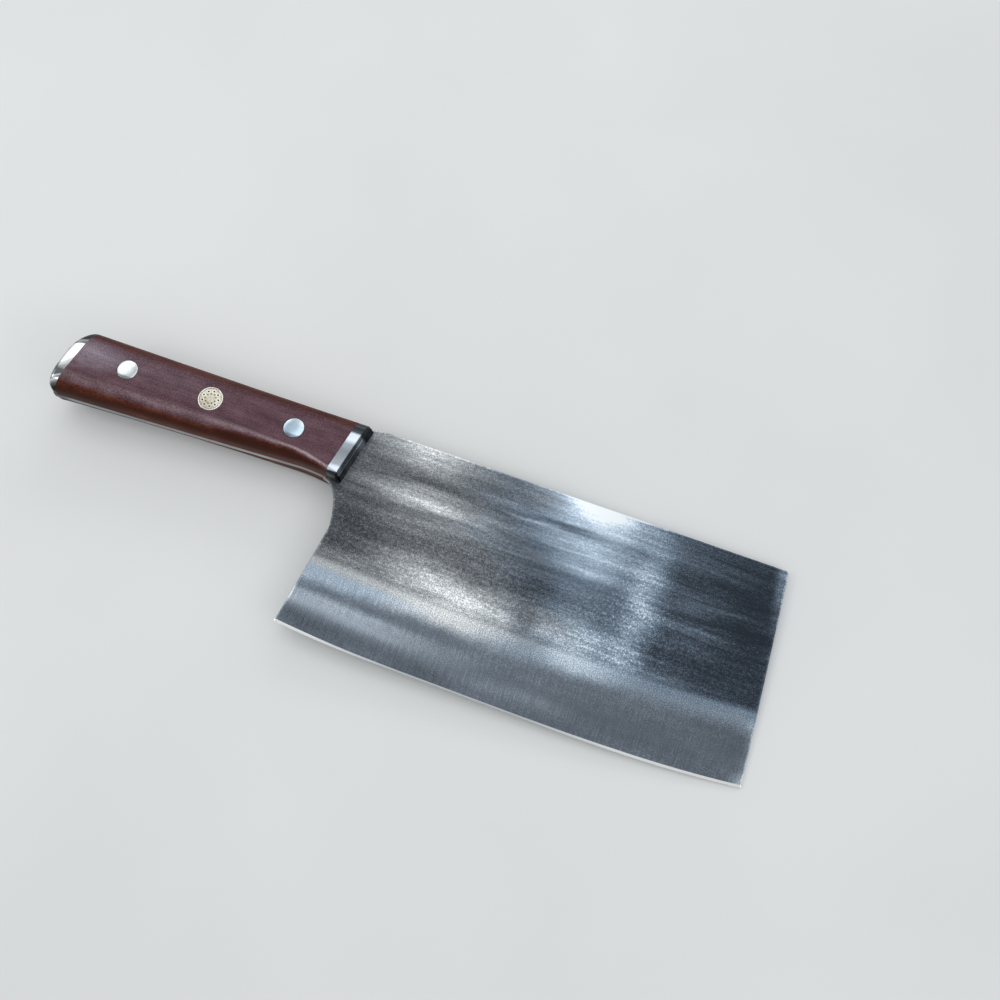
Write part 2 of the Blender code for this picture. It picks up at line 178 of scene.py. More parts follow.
def front_x(y):
    return blade_length - front_lean * y / front_depth


def edge_y(x):
    heel = max(0.0, 1 - (x + heel_back) / heel_run)
    front_end = front_x(-front_depth)
    front = max(0.0, (x - belly_start) / (front_end - belly_start))
    heel_lift = (blade_depth - heel_depth) * heel ** 2
    front_lift = (blade_depth - front_depth) * front ** belly_power
    return -blade_depth + heel_lift + front_lift


def bevel_y(x):
    t = x / blade_length
    straight = -bevel_depth_heel + (bevel_depth_heel - bevel_depth_front) * t
    return straight - bevel_sag * 4 * t * (1 - t)


def belly_y(x):
    if x < -waist_back:
        t = (-waist_back - x) / (handle_length - waist_back)
        return -waist_depth - (butt_depth - waist_depth) * t
    t = (x + waist_back) / waist_back
    return -waist_depth - neck_flare * t ** 2


def butt_x(y):
    low = -butt_depth + butt_toe_height
    v = max(0.0, (y - low) / (-handle_drop - low))
    w = max(0.0, (low - y) / butt_toe_height)
    return -handle_length + butt_lean * v + butt_corner * v ** butt_corner_power + butt_toe * w ** 3


def arc_point(start, control, end, t):
    return start * (1 - t) ** 2 + control * 2 * t * (1 - t) + end * t ** 2


def arc_share(start, control, end, y):
    bend = start.y - 2 * control.y + end.y
    slope = 2 * (control.y - start.y)
    root = math.sqrt(max(0.0, slope ** 2 - 4 * bend * (start.y - y)))
    return 2 * (start.y - y) / (-slope + root)


heel = Vector((-heel_back, -heel_depth))
heel_bow = Vector((neck_end.x + heel_swell, neck_end.y - heel_swell_drop))


def rear_x(y):
    """Rear end of the blade's grid: under the handle a straight line, then neck and heel."""
    if y >= neck_start.y:
        return neck_start.x
    if y > neck_end.y:
        return arc_point(neck_start, neck_corner, neck_end, arc_share(neck_start, neck_corner, neck_end, y)).x
    return arc_point(neck_end, heel_bow, heel, arc_share(neck_end, heel_bow, heel, y)).x


# Mesh helpers

def as_object(name, bm):
    mesh = bpy.data.meshes.new(name)
    bm.to_mesh(mesh)
    bm.free()
    made = bpy.data.objects.new(name, mesh)
    scene.collection.objects.link(made)
    return made


def add_piece(name, bm, look, nodes):
    """A piece in the knife's frame, which rides on the knife and stands for CAD nodes."""
    bmesh.ops.recalc_face_normals(bm, faces=bm.faces[:])
    bm.transform(knife_place)
    made = as_object(name, bm)
    made.data.materials.append(look)
    made.data.shade_smooth()
    made.data.set_sharp_from_angle(angle=sharp_angle)
    normals = made.modifiers.new("even_shading", 'WEIGHTED_NORMAL')
    normals.keep_sharp = True
    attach(made, "root")
    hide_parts(*nodes)
    return made


def face_rows(bm, rows):
    for row, following in zip(rows, rows[1:]):
        for i in range(len(row) - 1):
            bm.faces.new((row[i], row[i + 1], following[i + 1], following[i]))


def skin(bm, rows):
    """A surface through rows of places; gives its vertices."""
    rings = [[bm.verts.new(place) for place in row] for row in rows]
    face_rows(bm, rings)
    return rings


def turned(bm, x, y, profile, segments):
    """A turned solid around the Z line through x, y; the profile holds (radius, z) pairs."""
    verts = [bm.verts.new((x + r, y, z)) for r, z in profile]
    edges = [bm.edges.new(pair) for pair in zip(verts, verts[1:])]
    bmesh.ops.spin(
        bm, geom=verts + edges, cent=(x, y, 0), axis=(0, 0, 1),
        angle=math.tau, steps=segments, use_duplicate=False)
    bmesh.ops.remove_doubles(bm, verts=bm.verts[:], dist=touching)


def mirrored(bm):
    bmesh.ops.scale(bm, vec=(1, 1, -1), verts=bm.verts[:])
    bmesh.ops.reverse_faces(bm, faces=bm.faces[:])


def flipped(profile):
    """A turned profile's points at the other end, in reversed order."""
    return [(r, -z) for r, z in reversed(profile)]


# Node helpers

class Level:
    """A number that nodes work out. Plain arithmetic on it adds further nodes."""

    def __init__(self, look, socket):
        self.look = look
        self.socket = socket

    def __add__(self, other):
        return self.look.math('ADD', self, other)

    def __sub__(self, other):
        return self.look.math('SUBTRACT', self, other)

    def __rsub__(self, other):
        return self.look.math('SUBTRACT', other, self)

    def __mul__(self, other):
        return self.look.math('MULTIPLY', self, other)

    def __truediv__(self, other):
        return self.look.math('DIVIDE', self, other)

    def __abs__(self):
        return self.look.math('ABSOLUTE', self)

    def span(self, low, high, to_low=0.0, to_high=1.0, kind='LINEAR'):
        """Maps low..high to to_low..to_high, held at its ends."""
        values = (self, low, high, to_low, to_high)
        return Level(self.look, self.look.node("MapRange", values, interpolation_type=kind).outputs[0])

    def soft(self, *ends):
        return self.span(*ends, kind='SMOOTHSTEP')

    def stepped(self, pairs):
        """Soft steps between (place, level) pairs, held at both ends."""
        level = pairs[0][1]
        for (start, _), (end, following) in zip(pairs, pairs[1:]):
            level = self.look.mixed(self.soft(start, end), level, following)
        return level


class Look:
    """A Principled material with short calls for the nodes that feed it. Lengths are in mm."""

    def __init__(self, name, metallic, roughness):
        self.material = bpy.data.materials.new(name)
        self.material.use_nodes = True
        self.tree = self.material.node_tree
        self.shader = self.tree.nodes["Principled BSDF"]
        self.shader.inputs["Metallic"].default_value = metallic
        self.shader.inputs["Roughness"].default_value = roughness
        offset = self.vector('SUBTRACT', self.node("TexCoord").outputs["Object"], knife_origin)
        back = self.node("VectorRotate", (offset,))
        back.inputs["Axis"].default_value = knife_turn.axis
        back.inputs["Angle"].default_value = -knife_turn.angle
        self.place = self.vector('MULTIPLY', back.outputs["Vector"], (1000, 1000, 1000))
        self.flat_place = self.vector('MULTIPLY', self.place, (1, 1, 0))
        self.x, self.y, self.z = self.parts(self.place)

    def feed(self, socket, value):
        if isinstance(value, Level):
            value = value.socket
        if isinstance(value, bpy.types.NodeSocket):
            self.tree.links.new(value, socket)
        else:
            socket.default_value = value

    def node(self, kind, values=(), **settings):
        """A new node with its settings, whose first inputs are fed in order."""
        made = self.tree.nodes.new("ShaderNode" + kind)
        for name, setting in settings.items():
            setattr(made, name, setting)
        for socket, value in zip(made.inputs, values):
            self.feed(socket, value)
        return made

    def vector(self, operation, a, b):
        return self.node("VectorMath", (a, b), operation=operation).outputs["Vector"]

    def length(self, place):
        """Distance of a place from zero."""
        return Level(self, self.node("VectorMath", (place, (0, 0, 0)), operation='DISTANCE').outputs["Value"])

    def math(self, operation, a, b=0.0, clamp=False):
        return Level(self, self.node("Math", (a, b), operation=operation, use_clamp=clamp).outputs[0])

    def parts(self, place):
        return [Level(self, socket) for socket in self.node("SeparateXYZ", (place,)).outputs]

    def joined(self, x, y, z):
        return self.node("CombineXYZ", (x, y, z)).outputs[0]

    def attribute(self, name):
        return Level(self, self.node("Attribute", attribute_name=name).outputs["Fac"])

    def grain(self, size, place=None, detail=3.0, roughness=0.55, shift=0.0):
        """Noise from 0 to 1 whose features have about this size in mm along x, y and z."""
        scaled = self.vector('DIVIDE', place or self.place, size)
        if shift:
            scaled = self.vector('ADD', scaled, (shift, shift * 1.7, shift * 0.6))
        made = self.node("TexNoise", (scaled,))
        for name, value in (("Scale", 1.0), ("Detail", detail), ("Roughness", roughness)):
            made.inputs[name].default_value = value
        return Level(self, made.outputs["Fac"])

    def waved(self, size):
        """The place with its lines waved across the knife, by up to about 2 mm."""
        wave = (self.grain(size, detail=1.5) - 0.5) * 5.0
        return self.joined(self.x, self.y + wave, self.z)

    def noisy(self, total, *pairs):
        """Adds noises, each centred on zero and with its weight."""
        for value, weight in pairs:
            total = self.math('ADD', total, (value - 0.5) * weight)
        return total

    def mixed(self, share, a, b):
        made = self.node("Mix", (share,), data_type='FLOAT')
        self.feed(made.inputs[2], a)
        self.feed(made.inputs[3], b)
        return Level(self, made.outputs[0])

    def blend(self, share, a, b, kind='MIX'):
        """A mix of two colours."""
        made = self.node("Mix", (share,), data_type='RGBA', blend_type=kind)
        for socket, value in zip(made.inputs[6:8], (a, b)):
            self.feed(socket, (*value, 1) if isinstance(value, tuple) else value)
        return made.outputs[2]

    def tinted(self, colour, tint):
        return self.blend(1.0, colour, tint, 'MULTIPLY')

    def ramp(self, value, stops):
        """A colour ramp from (place, (red, green, blue)) pairs."""
        made = self.node("ValToRGB", (value,))
        elements = made.color_ramp.elements
        while len(elements) < len(stops):
            elements.new(0.5)
        for element, (position, colour) in zip(elements, stops):
            element.position = position
            element.color = (*colour, 1)
        return made.outputs["Color"]

    def patch(self, values, flat):
        """A soft oval of one strength on a flattened place: its middle, half sizes and strength."""
        x, y, half_length, half_width, strength = values
        scaled = self.vector('DIVIDE', self.vector('SUBTRACT', flat, (x, y, 0)), (half_length, half_width, 1))
        return self.length(scaled).soft(1.0, 0.0, 0.0, strength)

    def patched(self, tone, patches, flat):
        for values in patches:
            tone = tone + self.patch(values, flat)
        return tone

    def bump(self, height, depth_mm, normal=None):
        made = self.node("Bump")
        made.inputs["Strength"].default_value = 1.0
        made.inputs["Distance"].default_value = depth_mm / 1000
        self.feed(made.inputs["Height"], height)
        if normal:
            self.feed(made.inputs["Normal"], normal)
        return made.outputs["Normal"]

    def finish(self, colour, roughness, normal):
        for name, value in (("Base Color", colour), ("Roughness", roughness), ("Normal", normal)):
            self.feed(self.shader.inputs[name], value)
        return self.material


# Blade and tang

key_lines = 5
slope_step = 0.0002
wave_height = 0.000022
wave_size = (0.055, 0.0042)
fine_wave_height = 0.000005
fine_wave_size = (0.021, 0.0017)
column_spacing = 0.0011
column_margins = (0.0, 0.00005, 0.00015, 0.0003, 0.0006, 0.0010, 0.0016)
spine_lines_mm = (0.0, 0.05, 0.15, 0.3, 0.55, 0.9, 1.3, 2.0)
upper_steps = 30
neck_steps = 14
lower_steps = 36
bevel_steps = 24
edge_levels = [4.0, 4.33, 4.66, 5.0]
butt_steps = 40
flare_steps = 16

# Distances in mm that each vertex carries for the material, and what they are on the tang
blade_marks = ("below_bevel", "above_edge", "from_rim", "from_front")
tang_marks = (-45.0, 60.0, 10.0, 180.0)


def line_y(level, x):
    """Height of a line along the blade, from 0 at the spine to 5 at the cutting edge."""
    edge = edge_y(x)
    lines = (spine_y(x), neck_start.y, neck_end.y, bevel_y(x), edge + edge_bevel_height, edge)
    first = min(int(level), key_lines - 1)
    return mix(lines[first], lines[first + 1], level - first)


def face_height(x, y):
    """Half the thickness before edges are rounded: flat, a slight taper, then the wide bevel."""
    bevel = bevel_y(x)
    bottom = edge_y(x) + edge_bevel_height
    if y >= -taper_depth:
        return half_plate
    if y >= bevel:
        return mix(half_plate, half_bevel, (y + taper_depth) / (bevel + taper_depth))
    if y >= bottom:
        return mix(half_bevel, half_edge_bevel, (bevel - y) / (bevel - bottom))
    return mix(half_edge_bevel, half_edge, min(1.0, (bottom - y) / edge_bevel_height))


def edge_distance(x, y):
    """How far a point of the blade lies inside its spine, front, heel and neck."""
    distance = min(spine_y(x) - y, front_x(y) - x)
    if y < neck_start.y:
        slope = (rear_x(y - slope_step) - rear_x(y + slope_step)) / (2 * slope_step)
        distance = min(distance, (x - rear_x(y)) / math.hypot(1, slope))
    return max(0.0, distance)


def forged_wave(x, y, side):
    """Shallow hammer and grinding waves that run along the forged part of the face."""
    place = Vector((x / wave_size[0], y / wave_size[1], side * 3.0))
    fine = Vector((x / fine_wave_size[0], y / fine_wave_size[1], side * 5.0))
    fade = smooth_step(y - bevel_y(x), -0.002, 0.006) * smooth_step(edge_distance(x, y), 0.0, 0.004)
    return fade * (wave_height * noise.noise(place) + fine_wave_height * noise.noise(fine))


def rounded_corner(x, y):
    """Pulls a grid point next to a corner of the blade inside the corner's arc."""
    corners = (
        (front_x(y), 1, spine_y(x), 1, top_corner_radius),
        (front_x(y), 1, edge_y(x), -1, low_corner_radius),
        (rear_x(y), -1, edge_y(x), -1, low_corner_radius),
    )
    for end, x_side, rim, y_side, radius in corners:
        a = 1 - (end - x) * x_side / radius
        b = 1 - (rim - y) * y_side / radius
        if a > 0 and b > 0:
            rounded_a = a * math.sqrt(1 - b * b / 2)
            rounded_b = b * math.sqrt(1 - a * a / 2)
            return end - x_side * radius * (1 - rounded_a), rim - y_side * radius * (1 - rounded_b)
    return x, y


def spread(length, spacing, margins):
    """Places from 0 to 1 along a length: close together at both ends, evenly spaced between."""
    count = max(2, round((length - 2 * margins[-1]) / spacing))
    middle = [margins[-1] + (length - 2 * margins[-1]) * i / count for i in range(count + 1)]
    places = list(margins[:-1]) + middle + [length - m for m in reversed(margins[:-1])]
    return [p / length for p in places]


def blade_levels():
    """Levels of the grid's lines, close together at the spine, the neck, the bevel and the edge."""
    depth = -neck_start.y * 1000
    levels = [v / depth for v in spine_lines_mm]
    start = levels[-1]
    levels += [start + (1 - start) * i / upper_steps for i in range(1, upper_steps)]
    for i in range(neck_steps):
        y = arc_point(neck_start, neck_corner, neck_end, i / neck_steps).y
        levels.append(1 + (y - neck_start.y) / (neck_end.y - neck_start.y))
    levels += [2 + i / lower_steps for i in range(lower_steps)]
    levels += [3 + i / bevel_steps for i in range(bevel_steps)]
    return levels + edge_levels


def blade_grid(levels):
    """Points in rows from the rear to the front end, one row for each level."""
    columns = spread(blade_length, column_spacing, column_margins)
    grid = []
    for level in levels:
        rear, front = neck_start.x, blade_length
        for _ in range(end_rounds):
            rear = rear_x(line_y(level, rear))
            front = front_x(line_y(level, front))
        places = [mix(rear, front, share) for share in columns]
        grid.append([(x, line_y(level, x)) for x in places])
    return grid


def tang_outline():
    """The tang's points around the butt, along the belly and up to the neck."""
    points = []
    for i in range(butt_steps + 1):
        y = -handle_drop - (butt_depth - handle_drop) * (i / butt_steps) ** butt_bunching
        points.append((butt_x(y), y))
    for i in range(flare_steps):
        x = mix(-waist_back, neck_start.x, i / flare_steps)
        points.append((x, belly_y(x)))
    return points


def marked_vert(bm, place, marks):
    vert = bm.verts.new(place)
    for name, mark in zip(blade_marks, marks):
        vert[bm.verts.layers.float[name]] = mark
    return vert


def plate_vert(bm, x, y, side):
    """A point of the blade's face, with its rim rounded and its forged part waved."""
    height = face_height(x, y)
    inside = edge_distance(x, y)
    round_size = min(edge_round, 0.8 * height)
    near = min(inside, round_size)
    drop = round_size - math.sqrt(max(0.0, round_size ** 2 - (round_size - near) ** 2))
    rounded_x, rounded_y = rounded_corner(x, y)
    z = side * (height - drop + forged_wave(x, y, side))
    marks = [distance * 1000 for distance in (bevel_y(x) - y, y - edge_y(x), inside, front_x(y) - x)]
    return marked_vert(bm, (rounded_x, rounded_y, z), marks)


def plate_side(bm, levels, grid, side):
    """One face of the plate; gives the ring of points around it."""
    rows = [[plate_vert(bm, x, y, side) for x, y in row] for row in grid]
    face_rows(bm, rows)
    neck_row = levels.index(1.0)
    tang = [marked_vert(bm, (x, y, side * half_plate), tang_marks) for x, y in tang_outline()]
    bm.faces.new(tang + [row[0] for row in reversed(rows[:neck_row + 1])])
    rim = tang + [row[0] for row in rows[neck_row:]] + rows[-1][1:]
    return rim + [row[-1] for row in reversed(rows[:-1])] + rows[0][-2::-1]


def make_blade():
    bm = bmesh.new()
    for name in blade_marks:
        bm.verts.layers.float.new(name)
    levels = blade_levels()
    grid = blade_grid(levels)
    upper, lower = (plate_side(bm, levels, grid, side) for side in (1, -1))
    for i in range(len(upper)):
        j = (i + 1) % len(upper)
        bm.faces.new((upper[i], upper[j], lower[j], lower[i]))
    add_piece("blade_plate", bm, blade_look(), ["blade_and_tang"])


# Handle section, as in the part's source

def section(station, slope, inset=0.0, belly_round=0.0):
    """Half section of the handle above the plate, from its spine side over to its belly side."""
    low = belly_y(station + slope * (belly_y(station) - pin_line))
    middle = (low - handle_drop) / 2
    half_width = (-handle_drop - low) / 2 - inset
    height = half_handle - inset
    full_height = height * crown_cut
    boxiness = math.exp(min(0.0, station) / boxy_run)
    sides = []
    for front_power, rounding in ((spine_side_power, 0.0), (belly_side_power, belly_round)):
        power = mix(butt_power, front_power, boxiness) * (1 - rounding)
        start = math.asin((seat_height / full_height) ** (power / 2))
        end = math.asin((1 / crown_cut) ** (power / 2))
        side = []
        for i in range(side_steps + 1):
            angle = mix(start, end, i / side_steps)
            across = half_width * math.cos(angle) ** (2 / power)
            side.append((across, full_height * math.sin(angle) ** (2 / power)))
        sides.append(side)
    spine_side = [(middle + across, up) for across, up in sides[0]]
    belly_side = [(middle - across, up) for across, up in reversed(sides[1])]
    face = []
    for i in range(1, face_steps):
        face.append((mix(spine_side[-1][0], belly_side[0][0], i / face_steps), height))
    return spine_side + face + belly_side


def joint_row(station, slope, inset=0.0, belly_round=0.0):
    """The half section at a slanted station."""
    points = section(station, slope, inset, belly_round)
    return [Vector((station + slope * (y - pin_line), y, z)) for y, z in points]


def scale_solid(belly_round):
    """One scale; the rounding of its belly side fades out at both joints."""
    bm = bmesh.new()
    first = bolster_back - hairline
    last = cap_joint + hairline
    rows = []
    for i in range(handle_stations + 1):
        t = i / handle_stations
        rounding = belly_round * math.sqrt(max(0.0, math.sin(math.pi * t)))
        slope = mix(bolster_back_slope, cap_joint_slope, t)
        rows.append(joint_row(mix(first, last, t), slope, belly_round=rounding))
    rings = skin(bm, rows)
    bm.faces.new(rings[0])
    bm.faces.new(rings[-1])
    for ring, following in zip(rings, rings[1:]):
        bm.faces.new((ring[0], ring[-1], following[-1], following[0]))
    return bm


def drill(made, places):
    """Blind round holes from the outer face, cut into a finished piece."""
    holes = bmesh.new()
    bottom = half_handle - hole_depth
    top = half_handle + hole_clearance
    for x, radius, side in places:
        middle = Matrix.Translation((x, pin_line, side * (bottom + top) / 2))
        bmesh.ops.create_cone(
            holes, cap_ends=True, segments=round_segments, radius1=radius, radius2=radius,
            depth=top - bottom, matrix=middle)
    holes.transform(knife_place)
    cutter = as_object("holes", holes)
    boolean = made.modifiers.new("holes", 'BOOLEAN')
    boolean.solver = 'EXACT'
    boolean.object = cutter
    while made.modifiers[0] != boolean:
        made.modifiers.move(made.modifiers.find("holes"), 0)
    with bpy.context.temp_override(object=made, active_object=made):
        bpy.ops.object.modifier_apply(modifier="holes")
    bpy.data.objects.remove(cutter)


def make_scales(look):
    for name, side in (("upper", 1), ("lower", -1)):
        bm = scale_solid(lower_scale_round if side < 0 else 0.0)
        if side < 0:
            mirrored(bm)
        made = add_piece(f"wood_scale_{name}", bm, look, [f"scale_{name}"])
        drill(made, [
            (front_rivet_x, rivet_head_radius + hole_gap, side),
            (rear_rivet_x, rivet_head_radius + hole_gap, side),
            (mosaic_x, mosaic_radius + hole_gap, side),
        ])


# Bolster and end cap

def bolster_solid():
    """Flat band, chamfered rim, and a front that steps out once near its foot."""
    bm = bmesh.new()
    rows = [
        joint_row(bolster_back, bolster_back_slope),
        joint_row(bolster_front, bolster_front_slope),
    ]
    rim_steps = 4
    for i in range(1, rim_steps + 1):
        angle = math.radians(90 * i / rim_steps)
        forward = bolster_chamfer * math.sin(angle)
        inset = bolster_chamfer * (1 - math.cos(angle))
        rows.append(joint_row(bolster_front + forward, bolster_front_slope, inset))
    rim = rows[-1]
    step_base = bolster_step_height - bolster_step
    for height, forward in (
        (bolster_step_height, bolster_chamfer / 2),
        (step_base, bolster_chamfer / 2 + bolster_step),
        (seat_height, bolster_toe),
    ):
        rows.append([Vector((p.x + forward, p.y, min(p.z, height))) for p in rim])
    rings = skin(bm, rows)
    bm.faces.new(rings[0])
    starts = [ring[0] for ring in rings]
    ends = [ring[-1] for ring in reversed(rings)]
    bm.faces.new(starts + rings[-1][1:-1] + ends)
    return bm


def cap_solid():
    """Full section at the wood, a rounded rim, and a back that follows the butt."""
    bm = bmesh.new()
    rows = [joint_row(cap_joint, cap_joint_slope)]
    quarter_steps = 12
    for quarter in range(quarter_steps + 1):
        angle = math.radians(90 * quarter / quarter_steps)
        rim = joint_row(cap_joint, cap_joint_slope, cap_rim * (1 - math.cos(angle)))
        row = []
        for p in rim:
            back = butt_x(p.y)
            forward = min(cap_rim, (p.x - back) / 2) * (1 - math.sin(angle))
            row.append(Vector((back + forward, p.y, p.z)))
        rows.append(row)
    rows.append([Vector((p.x, p.y, seat_height)) for p in rows[-1]])
    rings = skin(bm, rows)
    bm.faces.new(rings[0])
    starts = [ring[0] for ring in rings[:-1]]
    ends = [ring[-1] for ring in reversed(rings[:-1])]
    bm.faces.new(starts + rings[-1][1:-1] + ends)
    bmesh.ops.remove_doubles(bm, verts=bm.verts[:], dist=touching)
    bmesh.ops.dissolve_degenerate(bm, edges=bm.edges[:], dist=touching)
    return bm


def make_metal_ends(bolster_metal, cap_metal):
    kinds = (
        ("bolster_half", "bolster", bolster_solid, bolster_metal),
        ("end_cap_half", "cap", cap_solid, cap_metal),
    )
    for side in ("upper", "lower"):
        for name, kind, solid, look in kinds:
            bm = solid()
            if side == "lower":
                mirrored(bm)
            add_piece(f"{name}_{side}", bm, look, [f"{kind}_{side}"])


# Rivets and mosaic pin

def domed(radius, top, dome, round_size, steps=10):
    """Profile from the rim up over a slightly domed face to the axis."""
    points = []
    round_steps = 5
    for i in range(round_steps):
        angle = math.radians(90 * i / round_steps)
        points.append((radius - round_size * (1 - math.cos(angle)), top - round_size * (1 - math.sin(angle))))
    for i in range(steps + 1):
        r = (radius - round_size) * (1 - i / steps)
        share = r / (radius - round_size)
        points.append((r, top + dome * (1 - share ** 3)))
    return points


def make_rivets(look):
    under = half_handle - rivet_head_height
    head = domed(rivet_head_radius, half_handle, rivet_dome, rivet_round)
    pin_end = -under + rivet_bore_floor
    bore_end = pin_end - rivet_bore_gap
    for name, x in (("front_rivet", front_rivet_x), ("rear_rivet", rear_rivet_x)):
        pin = bmesh.new()
        turned(pin, x, pin_line, [
            (0, pin_end), (rivet_pin_radius, pin_end), (rivet_pin_radius, under), (rivet_head_radius, under),
        ] + head, round_segments)
        add_piece(f"{name}_solid_head", pin, look, [f"{name}_pin"])
        tube = bmesh.new()
        turned(tube, x, pin_line, flipped(head) + [
            (rivet_head_radius, -under), (rivet_tube_radius, -under), (rivet_tube_radius, under - hairline),
            (rivet_bore_radius, under - hairline), (rivet_bore_radius, bore_end), (0, bore_end),
        ], round_segments)
        add_piece(f"{name}_hollow_head", tube, look, [f"{name}_tube"])


def circle_places(radius, phase):
    places = []
    for i in range(mosaic_count):
        angle = phase + math.tau * i / mosaic_count
        places.append((mosaic_x + radius * math.cos(angle), pin_line + radius * math.sin(angle)))
    return places


def make_mosaic_ring(look):
    """The outer tube, whose ends are rounded over."""
    inner = mosaic_radius - mosaic_wall
    middle = (mosaic_radius + inner) / 2
    crown = []
    crown_steps = 8
    for i in range(crown_steps + 1):
        angle = math.pi * i / crown_steps
        r = middle + mosaic_wall / 2 * math.cos(angle)
        crown.append((r, half_handle + mosaic_crown * math.sin(angle)))
    profile = crown + flipped(crown)
    tube = bmesh.new()
    turned(tube, mosaic_x, pin_line, profile + profile[:1], round_segments)
    add_piece("mosaic_ring", tube, look, ["mosaic_tube"])


def make_mosaic_filling(look):
    core = bmesh.new()
    core_radius = mosaic_radius - mosaic_wall - hairline
    face = domed(core_radius, half_handle - filling_drop, filling_dome, filling_round)
    turned(core, mosaic_x, pin_line, flipped(face) + face, round_segments)
    add_piece("mosaic_filling", core, look, ["mosaic_core"])


def make_mosaic_rods(name, places, radius, look):
    for number, (x, y) in enumerate(places, start=1):
        rod = bmesh.new()
        end = domed(radius, half_handle + rod_rise, rod_dome, radius * 0.2, steps=4)
        turned(rod, x, y, flipped(end) + end, rod_segments)
        add_piece(f"{name}_fine_{number}", rod, look, [f"{name}_{number}"])


def make_mosaic(tube_look, core_look, rod_look):
    make_mosaic_ring(tube_look)
    make_mosaic_filling(core_look)
    rods = circle_places(mosaic_rod_circle, mosaic_turn)
    wires = circle_places(mosaic_wire_circle, mosaic_turn + math.pi / mosaic_count)
    make_mosaic_rods("mosaic_rod", rods, mosaic_rod_radius, rod_look)
    make_mosaic_rods("mosaic_wire", wires, mosaic_wire_radius, rod_look)
    make_mosaic_rods("mosaic_centre", [(mosaic_x, pin_line)], mosaic_centre_radius, core_look)


# Materials. A span leads from one place in mm to another, and between two levels if it has four numbers

# Painted darker reflection towards the blade's front end
front_dark_reflection = (112.0, 166.0, 0.39, 0.11)
fine_streaks_rise = (110.0, 140.0, 0.30, 0.42)
calm_middle = 98.0
calm_span = (34.0, 12.0, 0.0, 0.38)
calm_depth = (-42.0, -30.0)
calm_tang = (-3.0, -9.0, 0.0, 0.65)
grit_by_tone = (0.05, 0.50, 0.86, 0.66)
# Painted glints and pits in a band about this place along the blade
glint_band_middle = 126.0
glint_rise = (0.62, 0.72, 0.0, 0.11)
glint_span = (26.0, 6.0, 0.25, 1.0)
glint_start = (90.0, 118.0)
pale_pits = (0.58, 0.72, 0.0, 0.14)
dark_pits = (0.42, 0.30, 0.0, 0.07)
pitted_span = (22.0, 8.0)
pitted_depth = (-8.0, -24.0)
# Painted highlight along the blade's rims
rim_highlight_span = (0.9, 0.2, 0.0, 0.26)
# Painted highlight strip along the front end
front_highlight_width = (-46.0, -4.0, 2.0, 6.2)
front_highlight_level = (-34.0, -5.0, 0.06, 0.46)
tang_start = (-6.0, -9.0)
tang_level = 0.76
butt_span = (-119.0, -125.0)
bevel_start = (-1.0, 1.5)
satin_rise = (10.0, 70.0, 0.32, 0.47)
heel_band_start = (8.0, 12.5)
heel_band_end = (21.6, 15.0)
heel_band_level = (90.0, 10.0, 0.0, 0.42)
# Painted highlight along the front end of the bevel
bevel_front_highlight = (4.0, 0.5, 0.0, 0.12)
# Painted highlight along the line where the bevel starts
bevel_highlight_start = (-5.2, -1.5)
bevel_highlight_end = (9.0, 1.5)
bevel_highlight_scratches = (40.0, 90.0, 0.6, 2.6)
bevel_highlight_narrowing = (0.0, 55.0, -3.0, 0.8)
bevel_highlight_grit = (20.0, 70.0, 0.6, 0.9)
# Where the painted reflection colour turns bluer
cool_reflection_drift = (-26.0, -52.0, 0.0, 30.0)
cool_reflection_side = (35.0, 95.0)
edge_middle = 72.0
# Painted highlight on the cutting edge grows away from its middle
edge_highlight_rise = (24.0, 62.0)
edge_line = (0.0, 1.0, 0.62, 0.96)
edge_fade = (0.07, -0.07)


